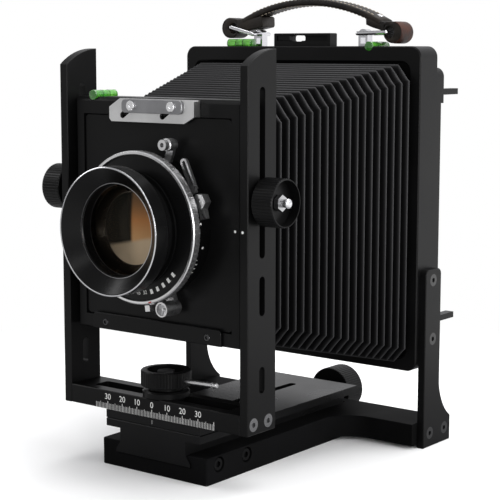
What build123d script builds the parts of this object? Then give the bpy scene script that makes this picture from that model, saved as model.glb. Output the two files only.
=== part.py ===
from build123d import *
import math
import os

# Large format view camera on a flat bed.
# Frame: millimetres, +Z up, -Y is the front (where the lens looks), +X is the viewer's right
# when facing the lens. The origin is the mouth of the tripod socket, in the base's underside.

# ---- Driving dimensions ----
GAP = 0.15                 # clearance between flat sliding faces
RUN = 0.06                 # radial clearance of a shaft that turns in its bore
FLOOR_GAP = 0.5            # the rail's foot hangs clear of the channel's floor
EDGE = 0.4                 # bevel on exposed edges

FRONT = -100.0             # front plane of the front standard, with the focus run right back

# Base: a narrow body under the rail, with two wings that carry the uprights
BASE_HALF = 34.7
BASE_TOP = 13.8
BASE_FRONT = -99.1
BASE_REAR = 52.0
WING_FRONT = 20.0
WING_BOTTOM = 2.0
WING_FILLET = 18.0
CHANNEL_FLOOR = 7.6
CHANNEL_END = 41.5

# Rail: a dovetail foot, a neck and a wide flat flange
NECK_HALF = 21.7
FOOT_HALF = 24.7
FOOT_TOP = 9.7
FLANGE_HALF = 31.1
FLANGE_BOTTOM = 20.9
FLANGE_TOP = 24.9
RAIL_FRONT = -99.9
RAIL_REAR = 39.8
SLOT_WIDTH = 4.6
SLOT_REAR = 22.0

# Focus screw
SCREW_Z = 14.0
SCREW_R = 3.0
FOCUS_KNOB_R = 13.4
FOCUS_KNOB_FRONT = 57.8
FOCUS_KNOB_LENGTH = 15.0

# Rear frame and its uprights
FRAME_HALF = 79.2
FRAME_FRONT = 22.6
FRAME_REAR = 40.0
FRAME_BOTTOM = 41.9
FRAME_TOP = 214.5
FRAME_MID_Z = (FRAME_BOTTOM + FRAME_TOP) / 2
UPRIGHT_THICK = 4.1
UPRIGHT_FRONT = 25.3
UPRIGHT_REAR = 41.0
UPRIGHT_FOOT_REAR = 53.3
UPRIGHT_TOP = 96.8
UPRIGHT_SCREWS = [(32.8, 91.0), (33.2, 59.1), (31.8, 7.6), (47.0, 7.6)]   # (y, z)

# Reversible back: a square board, with the ground glass panel behind it
BACK_HALF = 75.0
BACK_REAR = 54.5
FILM_WIDTH = 121.0
FILM_HEIGHT = 96.0
PANEL_HALF = 60.0
PANEL_HALF_HEIGHT = 55.0
PANEL_FRONT = 51.7
PANEL_REAR = 62.0
GLASS_HALF = 54.0
GLASS_HALF_HEIGHT = 49.0
GLASS_FRONT = 54.7
LOCK_OFFSET = 62.0

# Front standard
STANDARD_HALF = 60.75
PLATE_THICK = 5.0
PLATE_DEPTH = 22.2
BAR_BOTTOM = 29.5
BAR_TOP = 39.2
PLATE_TOP_FRONT = 205.1
PLATE_TOP_REAR = 213.1
STUD_Y = FRONT + 11.1      # the clamp stud and the slots of the side plates share this plane
SHIFT_SLOT_HALF = 45.0
SHIFT_SLOT_WIDTH = 10.0
SIDE_SLOT_WIDTH = 4.3
SIDE_SLOTS = [(114.4, 195.4), (86.6, 105.8), (48.9, 61.9)]   # (bottom z, top z)

# Lens carrier
CARRIER_HALF = 53.0
CARRIER_FRONT = FRONT + 4.0
CARRIER_REAR = FRONT + 20.0
CARRIER_BOTTOM = 70.5
CARRIER_TOP = 189.0
TILT_Z = 141.5
RISE_KNOB_R = 11.75
BOARD_HALF = 47.6
BOARD_BOTTOM = 77.6
BOARD_TOP = 180.2
BOARD_FRONT = FRONT + 4.8
BOARD_REAR = FRONT + 7.2

# Lens and shutter: every lens distance is measured from FRONT along Y
LENS_Z = 126.5
FRONT_GLASS_R = 22.3
INNER_GLASS_R = 18.1
SHUTTER_HOLE_R = 20.8
CASE_R = 34.6
FACE_R = 35.9
RING_R = 37.6

# Bellows envelope: (half width, bottom z, top z) at its two ends
BELLOWS_FRONT_Y = FRONT + 22.0
BELLOWS_REAR_Y = FRAME_FRONT - 0.2
BELLOWS_FRONT = (47.0, 69.0, 184.5)
BELLOWS_REAR = (73.5, 46.0, 205.5)
BELLOWS_WALL = 7.0

# Handle: the strap lies a little lower at its right end. Index -1 is the left end, 1 the right end.
HANDLE_Y = 36.0
RING_PIVOT_X = {-1: -35.0, 1: 36.2}
RING_PIVOT_Z = 221.3
RING_TILT = {-1: 14.0, 1: 1.4}         # degrees that each ring rises outwards
RING_LENGTH = {-1: 15.8, 1: 18.0}
RING_HALF_WIDTH = 7.8
RING_WIRE_R = 1.1
STRAP_HALF_WIDTH = 6.0
STRAP_THICK = 3.7
STRAP_LOOP_R = 5.7
STRAP_HOLE_R = 3.0
STRAP_LOOP = {-1: (-52.7, 224.9), 1: (57.0, 221.7)}     # (x, z) of each end loop
STRAP_HOLE = {-1: (-50.4, 224.7), 1: (54.6, 221.7)}     # (x, z) of the hole that the ring passes through


# ---- Shape helpers ----
def block(x0, x1, y0, y1, z0, z1):
    """A box between two corners."""
    return Pos((x0 + x1) / 2, (y0 + y1) / 2, (z0 + z1) / 2) * Box(x1 - x0, y1 - y0, z1 - z0)


def rod_x(radius, x0, x1, y, z):
    return Pos((x0 + x1) / 2, y, z) * Rot(0, 90, 0) * Cylinder(radius, x1 - x0)


def rod_y(radius, y0, y1, x, z):
    return Pos(x, (y0 + y1) / 2, z) * Rot(90, 0, 0) * Cylinder(radius, y1 - y0)


def rod_z(radius, z0, z1, x, y):
    return Pos(x, y, (z0 + z1) / 2) * Cylinder(radius, z1 - z0)


def rounded(solid, axis, radius):
    """Round the edges that run along one axis."""
    return fillet(solid.edges().filter_by(axis), radius)


def bevelled(solid, axis, side, size=EDGE):
    """Bevel round the solid's furthest face on the + or - side of an axis."""
    face = solid.faces().sort_by(axis)[-1 if side > 0 else 0]
    return chamfer(face.edges(), size)


def front_profile(points, y0, y1):
    """A plate with an outline of (x, z) points, from y0 to y1."""
    outline = Plane.XZ * make_face(Polyline(*points, close=True))
    return Pos(0, y1, 0) * extrude(outline, y1 - y0)


def turned(points, z=LENS_Z):
    """A solid of revolution about a line along Y at height z, from (radius, y from FRONT) points."""
    section = make_face(Polyline(*points, close=True))
    return Pos(0, FRONT, z) * revolve(section, axis=Axis.Y)


def knob_blank(radius, height, ribs, recess_r, recess_depth, bore_r):
    """A ribbed knob that stands on z = 0, with a dished top."""
    body = Pos(0, 0, height / 2) * Cylinder(radius, height)
    body = chamfer(body.edges().filter_by(GeomType.CIRCLE), 0.5)
    body -= Pos(0, 0, height - recess_depth / 2) * Cylinder(recess_r, recess_depth)
    body -= Pos(0, 0, height / 2) * Cylinder(bore_r, height + 2)
    groove_r = 0.42
    groove = Pos(radius + 0.1, 0, height / 2) * Cylinder(groove_r, height + 2)
    return body - [Rot(0, 0, 360 * i / ribs) * groove for i in range(ribs)]


def hex_prism(across, height):
    """A hexagonal bar that stands on z = 0, with its size across the flats."""
    return extrude(RegularPolygon(across / 2, 6, major_radius=False), height)


def socket_screw(head_r, head_h, shank_r, length, hex_across):
    """A socket head screw along -Z: its head's top is at z = 0."""
    head = Pos(0, 0, -head_h / 2) * Cylinder(head_r, head_h)
    socket = Pos(0, 0, -head_h * 0.6) * hex_prism(hex_across, head_h)
    shank = Pos(0, 0, -(head_h + length) / 2) * Cylinder(shank_r, length + head_h)
    return head + shank - socket


def flat_screw(head_r, shank_r, length, hex_across):
    """A countersunk screw along -Z: its head's top is at z = 0."""
    head_h = head_r - shank_r
    head = Pos(0, 0, -head_h / 2) * Cone(shank_r, head_r, head_h)
    shank = Pos(0, 0, -length / 2) * Cylinder(shank_r, length)
    socket = Pos(0, 0, -head_h * 0.7) * hex_prism(hex_across, head_h)
    return head + shank - socket


FLAT_HEAD_R = 3.3
FLAT_SHANK_R = 1.5
FLAT_LENGTH = 8.0
FLAT_HEX = 2.4


def flat_screw_on_side(side, x, y, z):
    """A flat screw driven inwards from the face at x, on side +1 or -1."""
    turn = Rot(0, 90 * side, 0)
    return Pos(x, y, z) * turn * flat_screw(FLAT_HEAD_R, FLAT_SHANK_R, FLAT_LENGTH, FLAT_HEX)


def flat_hole_on_side(side, x, y, z):
    """The hole that a flat screw fills, cut from the face at x."""
    depth = FLAT_HEAD_R - FLAT_SHANK_R
    sink = Pos(0, 0, -depth / 2) * Cone(FLAT_SHANK_R, FLAT_HEAD_R, depth)
    hole = Pos(0, 0, -FLAT_LENGTH / 2) * Cylinder(FLAT_SHANK_R, FLAT_LENGTH)
    return Pos(x, y, z) * Rot(0, 90 * side, 0) * (sink + hole)


# ---- Base ----
GIB_SCREWS = [(-89.2, 9.2), (-66.8, 9.2)]       # (y, z) of the two pockets in the base's right side
GIB_POCKET_R = 4.0
GIB_HEAD_R = 3.1
BUSH_R = 7.5
BUSH_HEIGHT = 6.6
BUSH_BORE_R = 3.97                              # 3/8-16 UNC, at its minor diameter


def dovetail_outline(floor, grow):
    """The dovetail's section as (x, z) points from its floor up, wider than the rail's foot by grow."""
    neck = NECK_HALF + grow
    foot = FOOT_HALF + grow
    return [(-foot, floor), (foot, floor), (foot, FOOT_TOP + grow), (neck, BASE_TOP), (neck, FLANGE_BOTTOM),
            (-neck, FLANGE_BOTTOM), (-neck, BASE_TOP), (-foot, FOOT_TOP + grow)]


def make_base_block():
    body = block(-BASE_HALF, BASE_HALF, BASE_FRONT, BASE_REAR, 0, BASE_TOP)
    body = fillet(body.edges().filter_by(Axis.Z).group_by(Axis.Y)[0], 1.2)
    body = bevelled(body, Axis.Z, -1)
    body += block(-FRAME_HALF, FRAME_HALF, WING_FRONT, BASE_REAR, WING_BOTTOM, BASE_TOP)
    for side in (-1, 1):
        x0, x1 = sorted((side * BASE_HALF, side * (BASE_HALF + WING_FILLET)))
        web = block(x0, x1, WING_FRONT - WING_FILLET, WING_FRONT, WING_BOTTOM, BASE_TOP)
        web -= rod_z(WING_FILLET, 0, BASE_TOP + 1, side * (BASE_HALF + WING_FILLET), WING_FRONT - WING_FILLET)
        body += web
    rear_edge = body.faces().sort_by(Axis.Z)[-1].edges().filter_by(Axis.X).group_by(Axis.Y)[-1]
    body = fillet(rear_edge, 5.0)
    top_edges = body.faces().sort_by(Axis.Z)[-1].edges().sort_by(Axis.Y)[:-1]
    body = chamfer(top_edges, EDGE)
    body -= front_profile(dovetail_outline(CHANNEL_FLOOR, GAP), BASE_FRONT - 1, CHANNEL_END)
    body -= block(-14.0, 14.0, CHANNEL_END, BASE_REAR + 1, CHANNEL_FLOOR, BASE_TOP + 1)
    body -= rod_z(BUSH_R, 0, BUSH_HEIGHT, 0, 0)
    for y, z in GIB_SCREWS:
        body -= rod_x(GIB_POCKET_R, BASE_HALF - 2.5, BASE_HALF + 1, y, z)
        body -= rod_x(1.6, FOOT_HALF + GAP, BASE_HALF, y, z)
    for side in (-1, 1):
        for y, z in UPRIGHT_SCREWS[2:]:
            body -= flat_hole_on_side(side, side * (FRAME_HALF + UPRIGHT_THICK), y, z)
    return body


def make_tripod_bush():
    bush = rod_z(BUSH_R, 0, BUSH_HEIGHT, 0, 0) - rod_z(BUSH_BORE_R, -1, BUSH_HEIGHT + 1, 0, 0)
    bush -= block(-BUSH_R - 1, BUSH_R + 1, -0.7, 0.7, -1, 1.2)
    return bush


def make_gib_screws():
    screws = []
    for y, z in GIB_SCREWS:
        turn = Pos(BASE_HALF - 0.6, y, z) * Rot(0, 90, 0)
        screws.append(turn * socket_screw(GIB_HEAD_R, 1.9, 1.6, 6.4, 3.0))
    return Compound(children=screws)


def make_screw_bearing():
    """The block at the rear of the channel that the focus screw turns in."""
    body = block(-14.0, 14.0, CHANNEL_END, BASE_REAR, CHANNEL_FLOOR, 20.0)
    body = fillet(body.edges().filter_by(Axis.Y).group_by(Axis.Z)[-1], 4.0)
    return body - rod_y(SCREW_R + RUN, CHANNEL_END - 1, BASE_REAR + 1, 0, SCREW_Z)


# ---- Uprights and rear frame ----
def make_upright(side):
    outline = Polyline((UPRIGHT_FRONT, 0), (UPRIGHT_FRONT, UPRIGHT_TOP), (UPRIGHT_REAR, UPRIGHT_TOP),
                       (UPRIGHT_REAR, 33.8))
    sweep_in = ThreePointArc((UPRIGHT_REAR, 33.8), (44.6, 23.0), (UPRIGHT_FOOT_REAR, 13.6))
    foot = Polyline((UPRIGHT_FOOT_REAR, 13.6), (UPRIGHT_FOOT_REAR, 0), (UPRIGHT_FRONT, 0))
    face = Plane.YZ * make_face([outline, sweep_in, foot])
    inner, outer = FRAME_HALF, FRAME_HALF + UPRIGHT_THICK
    x0 = inner if side > 0 else -outer
    plate = Pos(x0, 0, 0) * extrude(face, UPRIGHT_THICK)
    plate = fillet(plate.edges().filter_by(Axis.X).group_by(Axis.Z)[-1], 3.0)
    plate = bevelled(plate, Axis.X, side)
    for y, z in UPRIGHT_SCREWS:
        plate -= flat_hole_on_side(side, side * outer, y, z)
    return plate


def make_upright_screws():
    outer = FRAME_HALF + UPRIGHT_THICK
    return Compound(children=[flat_screw_on_side(side, side * outer, y, z)
                              for side in (-1, 1) for y, z in UPRIGHT_SCREWS])


LIGHT_FLANGE = 3.0                              # thickness of the flange behind the bellows
VIAL_R = 2.5
VIAL_LENGTH = 17.0
LEVEL_CROSS_X = -41.3                           # centre of the level that lies across the frame
LEVEL_CROSS_Y = 26.2
LEVEL_ALONG_X = 47.0                            # the level that lies from front to back


def make_rear_frame():
    frame = block(-FRAME_HALF, FRAME_HALF, FRAME_FRONT, FRAME_REAR, FRAME_BOTTOM, FRAME_TOP)
    frame = rounded(frame, Axis.Y, 6.0)
    opening = block(-72.5, 72.5, FRAME_FRONT - 1, FRAME_REAR - LIGHT_FLANGE, FRAME_BOTTOM + 6.5,
                    FRAME_TOP - 8.2)
    frame -= rounded(opening, Axis.Y, 5.0)
    frame -= block(-66.0, 66.0, FRAME_FRONT, FRAME_REAR + 1, 55.0, 200.0)
    frame = bevelled(frame, Axis.Y, -1, 0.6)
    frame = bevelled(frame, Axis.Y, 1)
    frame -= rod_y(VIAL_R, FRAME_FRONT - 1, FRAME_FRONT + VIAL_LENGTH, LEVEL_ALONG_X, FRAME_TOP)
    frame -= rod_x(VIAL_R, LEVEL_CROSS_X - VIAL_LENGTH / 2, LEVEL_CROSS_X + VIAL_LENGTH / 2,
                   LEVEL_CROSS_Y, FRAME_TOP + 1.6)
    for side in (-1, 1):
        for y, z in UPRIGHT_SCREWS[:2]:
            frame -= flat_hole_on_side(side, side * (FRAME_HALF + UPRIGHT_THICK), y, z)
    return frame


def make_frame_levels():
    along = rod_y(VIAL_R, FRAME_FRONT, FRAME_FRONT + VIAL_LENGTH, LEVEL_ALONG_X, FRAME_TOP)
    across = rod_x(VIAL_R, LEVEL_CROSS_X - VIAL_LENGTH / 2, LEVEL_CROSS_X + VIAL_LENGTH / 2,
                   LEVEL_CROSS_Y, FRAME_TOP + 1.6)
    return Compound(children=[along, across])


def make_bellows_rear_ring():
    """The clamp ring that holds the bellows' rear end inside the rear frame."""
    outer = rounded(block(-72.3, 72.3, FRAME_FRONT + 1, FRAME_FRONT + 4, 48.6, 206.1), Axis.Y, 4.8)
    inner = rounded(block(-64.5, 64.5, FRAME_FRONT, FRAME_FRONT + 5, 56.0, 199.0), Axis.Y, 4.0)
    return outer - inner


# ---- Top of the frame ----
BRACKET_HALF = 19.0
BRACKET_FRONT = 27.3
BRACKET_REAR = 33.9
BRACKET_TOP = FRAME_TOP + 7.1
LATCH_TRAVEL = 5.0


def make_latch_bracket():
    body = block(-BRACKET_HALF, BRACKET_HALF, BRACKET_FRONT, BRACKET_REAR, FRAME_TOP, BRACKET_TOP)
    body = bevelled(body, Axis.Z, 1)
    body -= rounded(block(-8.7, 0.6, BRACKET_FRONT - 1, BRACKET_REAR + 1, FRAME_TOP + 2.6, FRAME_TOP + 5.9),
                    Axis.Y, 1.2)
    body -= block(-5.6, -4.4, BRACKET_FRONT - 1, BRACKET_REAR + 1, FRAME_TOP + 5.0, BRACKET_TOP + 1)
    body -= block(-17.0, 17.0, BRACKET_FRONT - 1, BRACKET_FRONT + 2.6, FRAME_TOP + 3.0, FRAME_TOP + 5.8)
    return body


def make_latch_bar():
    """The bar that slides in the left half of the bracket's groove and frees the back."""
    return block(-16.6, -8.6, BRACKET_FRONT + 0.4, BRACKET_FRONT + 2.4, FRAME_TOP + 3.2, FRAME_TOP + 5.6)


POST_HALF_WIDTH = 2.9
POST_FRONT = 33.5
POST_REAR = 38.5


def make_handle_posts():
    posts = []
    for x in RING_PIVOT_X.values():
        x0, x1 = x - POST_HALF_WIDTH, x + POST_HALF_WIDTH
        post = block(x0, x1, POST_FRONT, POST_REAR, FRAME_TOP, RING_PIVOT_Z + 2.4)
        post = fillet(post.edges().filter_by(Axis.Y).group_by(Axis.Z)[-1], 2.6)
        post -= rod_y(RING_WIRE_R + RUN, HANDLE_Y - 12, HANDLE_Y + 12, x, RING_PIVOT_Z)
        post -= block(x - 1.6, x + 1.6, POST_FRONT - 1, POST_REAR + 1, FRAME_TOP + 1.4, RING_PIVOT_Z - 2.2)
        posts.append(post)
    return Compound(children=posts)


def make_handle_ring(side):
    """A square wire ring: its inner bar turns in the post, and its outer bar carries the strap."""
    tilt = math.radians(RING_TILT[side])
    length = RING_LENGTH[side]
    inner = (RING_PIVOT_X[side], RING_PIVOT_Z)
    outer = (inner[0] + side * length * math.cos(tilt), inner[1] + length * math.sin(tilt))
    front, rear = HANDLE_Y - RING_HALF_WIDTH, HANDLE_Y + RING_HALF_WIDTH
    corners = [(inner[0], front, inner[1]), (inner[0], rear, inner[1]),
               (outer[0], rear, outer[1]), (outer[0], front, outer[1])]
    wire = []
    for i, corner in enumerate(corners):
        run = Line(corner, corners[(i + 1) % 4])
        wire.append(sweep(Plane(origin=corner, z_dir=run % 0) * Circle(RING_WIRE_R), path=run))
        wire.append(Pos(*corner) * Sphere(RING_WIRE_R))
    ring = wire[0]
    for piece in wire[1:]:
        ring += piece
    return ring


def make_handle_strap():
    """An arched leather strap, whose ends fold back under it round the rings."""
    y0, y1 = HANDLE_Y - STRAP_HALF_WIDTH, HANDLE_Y + STRAP_HALF_WIDTH
    left, top, right = (-44.0, 230.4), (4.5, 240.3), (50.0, 228.4)     # along the strap's upper face
    upper = ThreePointArc(left, top, right)
    lower = ThreePointArc(*[(x, z - STRAP_THICK) for x, z in (left, top, right)])
    ends = [Line(upper @ 0, lower @ 0), Line(upper @ 1, lower @ 1)]
    strap = Pos(0, y1, 0) * extrude(Plane.XZ * make_face([upper, lower] + ends), y1 - y0)
    folds = {
        -1: [(-52.7, 230.6), (-43.0, 230.6), (-27.0, 231.2), (-24.5, 229.4), (-24.5, 225.4),
             (-40.0, 223.4), (-50.4, 219.7)],
        1: [(57.0, 227.4), (49.0, 228.6), (42.0, 229.6), (39.9, 228.4), (39.9, 225.4),
            (49.0, 222.8), (55.0, 216.4)],
    }
    for side, outline in folds.items():
        x, z = STRAP_LOOP[side]
        strap += front_profile(outline, y0, y1) + rod_y(STRAP_LOOP_R, y0, y1, x, z)
        strap -= rod_y(STRAP_HOLE_R, y0 - 1, y1 + 1, *STRAP_HOLE[side])
    return strap


# ---- Back ----
def make_back_board():
    z = FRAME_MID_Z
    board = block(-BACK_HALF, BACK_HALF, FRAME_REAR, BACK_REAR, z - BACK_HALF, z + BACK_HALF)
    board = bevelled(rounded(board, Axis.Y, 5.0), Axis.Y, 1)
    board -= block(-FILM_WIDTH / 2, FILM_WIDTH / 2, FRAME_REAR - 1, BACK_REAR + 1, z - FILM_HEIGHT / 2,
                   z + FILM_HEIGHT / 2)
    board -= block(-62.0, 90.0, BACK_REAR - 3.0, BACK_REAR + 1, z - 56.0, z + 56.0)
    return board


def make_panel_frame():
    """The frame that holds the ground glass and lifts off to take a film holder."""
    z = FRAME_MID_Z
    z0, z1 = z - PANEL_HALF_HEIGHT, z + PANEL_HALF_HEIGHT
    frame = block(-PANEL_HALF, PANEL_HALF, PANEL_FRONT, PANEL_REAR, z0, z1)
    frame = rounded(frame, Axis.Y, 3.0)
    frame -= block(-51.0, 51.0, PANEL_FRONT - 1, PANEL_REAR + 1, z - 46.0, z + 46.0)
    frame -= block(-GLASS_HALF, GLASS_HALF, GLASS_FRONT, PANEL_REAR + 1, z - GLASS_HALF_HEIGHT,
                   z + GLASS_HALF_HEIGHT)
    return bevelled(frame, Axis.Y, 1)


def make_ground_glass():
    z = FRAME_MID_Z
    half, half_height = GLASS_HALF - 0.2, GLASS_HALF_HEIGHT - 0.2
    return block(-half, half, GLASS_FRONT, GLASS_FRONT + 2.0, z - half_height, z + half_height)


def make_panel_springs():
    """Four flat spring fingers, screwed to the board, that press the panel home."""
    fingers = []
    for side in (-1, 1):
        for dz in (-30.0, 30.0):
            x_in, x_foot, x_out = 54.0, 64.0, 71.0
            y_foot, y_tip, thick = BACK_REAR, PANEL_REAR, 0.8
            points = [(x_out, y_foot), (x_out, y_foot + thick), (x_foot + 0.6, y_foot + thick),
                      (x_foot - 1.0, y_tip + thick), (x_in, y_tip + thick), (x_in, y_tip),
                      (x_foot - 1.8, y_tip), (x_foot - 0.2, y_foot)]
            outline = make_face(Polyline(*[(side * x, y) for x, y in points], close=True))
            z0 = FRAME_MID_Z + dz - 5.0
            fingers.append(extrude(Pos(0, 0, z0) * outline, 10.0, dir=(0, 0, 1)))
    return Compound(children=fingers)


def make_holder_lock(side):
    """A bar across the back, above or below the panel, with a finger tab at each end."""
    z = FRAME_MID_Z + side * LOCK_OFFSET
    y0 = BACK_REAR + 0.2
    bar = block(-71.0, 71.0, y0, y0 + 2.4, z - 4.0, z + 4.0)
    for end in (-1, 1):
        boss, tab = end * 68.5, end * 72.0
        bar += block(boss - 2.5, boss + 2.5, y0, y0 + 5.0, z - 3.0, z + 3.0)
        bar += block(tab - 2.5, tab + 2.5, y0, y0 + 15.6, z - 1.6, z + 1.6)
    return bar


# ---- Rail and focus screw ----
NUT_R = 5.2
NUT_LENGTH = 12.0


def make_focus_rail():
    rail = front_profile(dovetail_outline(CHANNEL_FLOOR + FLOOR_GAP, 0), RAIL_FRONT, RAIL_REAR)
    flange = block(-FLANGE_HALF, FLANGE_HALF, RAIL_FRONT, RAIL_REAR, FLANGE_BOTTOM, FLANGE_TOP)
    rail += bevelled(flange, Axis.Z, 1, 0.3)
    rail -= rod_y(SCREW_R + 0.6, -60, RAIL_REAR + 1, 0, SCREW_Z)
    rail -= rod_y(NUT_R, RAIL_REAR - NUT_LENGTH, RAIL_REAR + 1, 0, SCREW_Z)
    slot = block(-SLOT_WIDTH / 2, SLOT_WIDTH / 2, -64, SLOT_REAR, SCREW_Z + 1, FLANGE_TOP + 1)
    rail -= rounded(slot, Axis.Z, SLOT_WIDTH / 2 - 0.05)
    rail -= rod_z(SCREW_R, SCREW_Z + 2, FLANGE_TOP + 1, 0, STUD_Y)
    return rail


def make_lead_nut():
    nut = rod_y(NUT_R, RAIL_REAR - NUT_LENGTH, RAIL_REAR, 0, SCREW_Z)
    return nut - rod_y(SCREW_R + RUN, RAIL_REAR - NUT_LENGTH - 1, RAIL_REAR + 1, 0, SCREW_Z)


def make_lead_screw():
    screw = rod_y(SCREW_R, -45, FOCUS_KNOB_FRONT + 12, 0, SCREW_Z)
    screw += rod_y(4.4, RAIL_REAR + 0.4, CHANNEL_END - 0.2, 0, SCREW_Z)
    return screw


def make_focus_knob():
    knob = knob_blank(FOCUS_KNOB_R, FOCUS_KNOB_LENGTH, 60, 9.0, 2.5, SCREW_R)
    neck = Pos(0, 0, -0.5) * (Cylinder(6.0, 1.0) - Cylinder(SCREW_R, 2))
    return Pos(0, FOCUS_KNOB_FRONT, SCREW_Z) * Rot(-90, 0, 0) * (knob + neck)


CARRIAGE_DEPTH = 25.0


def make_carriage_plate():
    y0, y1 = RAIL_FRONT, FRONT + CARRIAGE_DEPTH
    plate = block(-FLANGE_HALF, FLANGE_HALF, y0, y1, FLANGE_TOP, BAR_BOTTOM - GAP)
    plate = bevelled(plate, Axis.Z, -1)
    return plate - rod_z(SCREW_R, FLANGE_TOP - 1, BAR_TOP, 0, STUD_Y)


# ---- Shift and swing clamp ----
CLAMP_FLANGE_R = 11.9
CLAMP_FLANGE_TOP = 42.7
CLAMP_KNOB_BOTTOM = 44.6
CLAMP_KNOB_HEIGHT = 8.1
CLAMP_KNOB_R = 12.8
STUD_HEAD_BOTTOM = 50.2
LEVER_ANGLE = 6.0
LEVER_R = 1.3
LEVER_START = 7.0          # distances from the stud's axis
LEVER_END = 30.8


def make_clamp_stud():
    stud = rod_z(SCREW_R, SCREW_Z + 4, STUD_HEAD_BOTTOM, 0, STUD_Y)
    return stud + Pos(0, STUD_Y, STUD_HEAD_BOTTOM) * hex_prism(8.0, 1.9)


def make_slot_block():
    """The block that slides in the cross bar's slot and turns on the clamp stud."""
    half_y = SHIFT_SLOT_WIDTH / 2 - GAP
    body = block(-8, 8, STUD_Y - half_y, STUD_Y + half_y, BAR_BOTTOM + 0.1, BAR_TOP + GAP)
    body += rod_z(CLAMP_FLANGE_R, BAR_TOP + GAP, CLAMP_FLANGE_TOP, 0, STUD_Y)
    body = chamfer(body.edges().filter_by(GeomType.CIRCLE).group_by(Axis.Z)[-1], 0.8)
    return body - rod_z(SCREW_R + RUN, BAR_BOTTOM - 1, CLAMP_FLANGE_TOP + 1, 0, STUD_Y)


def make_clamp_knob():
    knob = knob_blank(CLAMP_KNOB_R, CLAMP_KNOB_HEIGHT, 54, 9.6, 3.6, SCREW_R + RUN)
    neck_h = CLAMP_KNOB_BOTTOM - CLAMP_FLANGE_TOP - 0.2
    neck = Pos(0, 0, -neck_h / 2) * (Cylinder(9.0, neck_h) - Cylinder(SCREW_R + RUN, neck_h + 1))
    knob = Pos(0, STUD_Y, CLAMP_KNOB_BOTTOM) * (knob + neck)
    return knob - lever_rod(LEVER_R, LEVER_START, CLAMP_KNOB_R + 2)


def lever_rod(radius, start, end):
    """A round bar along the lever, which leaves the knob to the right."""
    place = Pos(0, STUD_Y, CLAMP_KNOB_BOTTOM + 3.0) * Rot(0, 0, LEVER_ANGLE) * Rot(0, 90, 0)
    return place * Pos(0, 0, (start + end) / 2) * Cylinder(radius, end - start)


def make_clamp_lever():
    tip_start, groove_start = LEVER_END - 2.4, LEVER_END - 3.2
    rod = lever_rod(LEVER_R, LEVER_START, groove_start)
    rod += lever_rod(LEVER_R - 0.4, groove_start, tip_start)
    tip = lever_rod(LEVER_R + 0.2, tip_start, LEVER_END)
    return rod + chamfer(tip.edges().filter_by(GeomType.CIRCLE), 0.4)


# ---- Front standard ----
STANDARD_SCREWS = [(FRONT + 4.7, 34.6), (FRONT + 16.3, 34.6)]    # (y, z)


def make_crossbar():
    inner = STANDARD_HALF - PLATE_THICK
    bar = block(-inner, inner, FRONT, FRONT + PLATE_DEPTH, BAR_BOTTOM, BAR_TOP)
    bar = bevelled(bar, Axis.Y, -1)
    y0, y1 = STUD_Y - SHIFT_SLOT_WIDTH / 2, STUD_Y + SHIFT_SLOT_WIDTH / 2
    bar -= rounded(block(-SHIFT_SLOT_HALF, SHIFT_SLOT_HALF, y0, y1, BAR_BOTTOM - 1, BAR_TOP + 1), Axis.Z, 1.5)
    for side in (-1, 1):
        for y, z in STANDARD_SCREWS:
            bar -= flat_hole_on_side(side, side * STANDARD_HALF, y, z)
    return bar


def make_side_plate(side):
    y0, y1 = FRONT, FRONT + PLATE_DEPTH
    rise = PLATE_TOP_REAR - PLATE_TOP_FRONT
    arc_r = (PLATE_DEPTH ** 2 + rise ** 2) / (2 * rise)
    centre_z = PLATE_TOP_REAR - arc_r
    half_turn = math.asin(PLATE_DEPTH / arc_r) / 2
    middle = (y1 - arc_r * math.sin(half_turn), centre_z + arc_r * math.cos(half_turn))
    top = ThreePointArc((y0, PLATE_TOP_FRONT), middle, (y1, PLATE_TOP_REAR))
    sides = Polyline((y1, PLATE_TOP_REAR), (y1, BAR_BOTTOM), (y0, BAR_BOTTOM), (y0, PLATE_TOP_FRONT))
    x0 = STANDARD_HALF - PLATE_THICK if side > 0 else -STANDARD_HALF
    plate = Pos(x0, 0, 0) * extrude(Plane.YZ * make_face([top, sides]), PLATE_THICK)
    plate = bevelled(bevelled(plate, Axis.X, 1), Axis.X, -1)
    slot_y0, slot_y1 = STUD_Y - SIDE_SLOT_WIDTH / 2, STUD_Y + SIDE_SLOT_WIDTH / 2
    for z0, z1 in SIDE_SLOTS:
        slot = block(x0 - 1, x0 + PLATE_THICK + 1, slot_y0, slot_y1, z0, z1)
        plate -= rounded(slot, Axis.X, SIDE_SLOT_WIDTH / 2 - 0.02)
    for y, z in STANDARD_SCREWS:
        plate -= flat_hole_on_side(side, side * STANDARD_HALF, y, z)
    return plate


def make_standard_screws():
    return Compound(children=[flat_screw_on_side(side, side * STANDARD_HALF, y, z)
                              for side in (-1, 1) for y, z in STANDARD_SCREWS])


# ---- Rise and tilt ----
TRUNNION_PIN_R = 3.0
STUD_R = 2.0


def make_trunnion(side):
    """Pivots the carrier, slides in the side plate's slot and carries the rise knob's lock nut."""
    def along(radius, x0, x1):
        lo, hi = sorted((side * x0, side * x1))
        return rod_x(radius, lo, hi, STUD_Y, TILT_Z)

    body = along(TRUNNION_PIN_R, 46.0, 53.3) + along(6.5, 53.3, 55.5)
    lo, hi = sorted((side * 55.5, side * 60.5))
    key_half = SIDE_SLOT_WIDTH / 2 - GAP
    body += block(lo, hi, STUD_Y - key_half, STUD_Y + key_half, TILT_Z - 5, TILT_Z + 5)
    stud = along(STUD_R, 60.4, 76.2)
    rims = stud.edges().filter_by(GeomType.CIRCLE).sort_by(Axis.X)
    body += chamfer(rims[-1] if side > 0 else rims[0], 0.9)
    nut = Pos(side * 70.2, STUD_Y, TILT_Z) * Rot(0, 90 * side, 0) * hex_prism(7.0, 2.4)
    nut -= along(STUD_R, 70.0, 73.0)
    return Compound(children=[body, nut])


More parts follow.
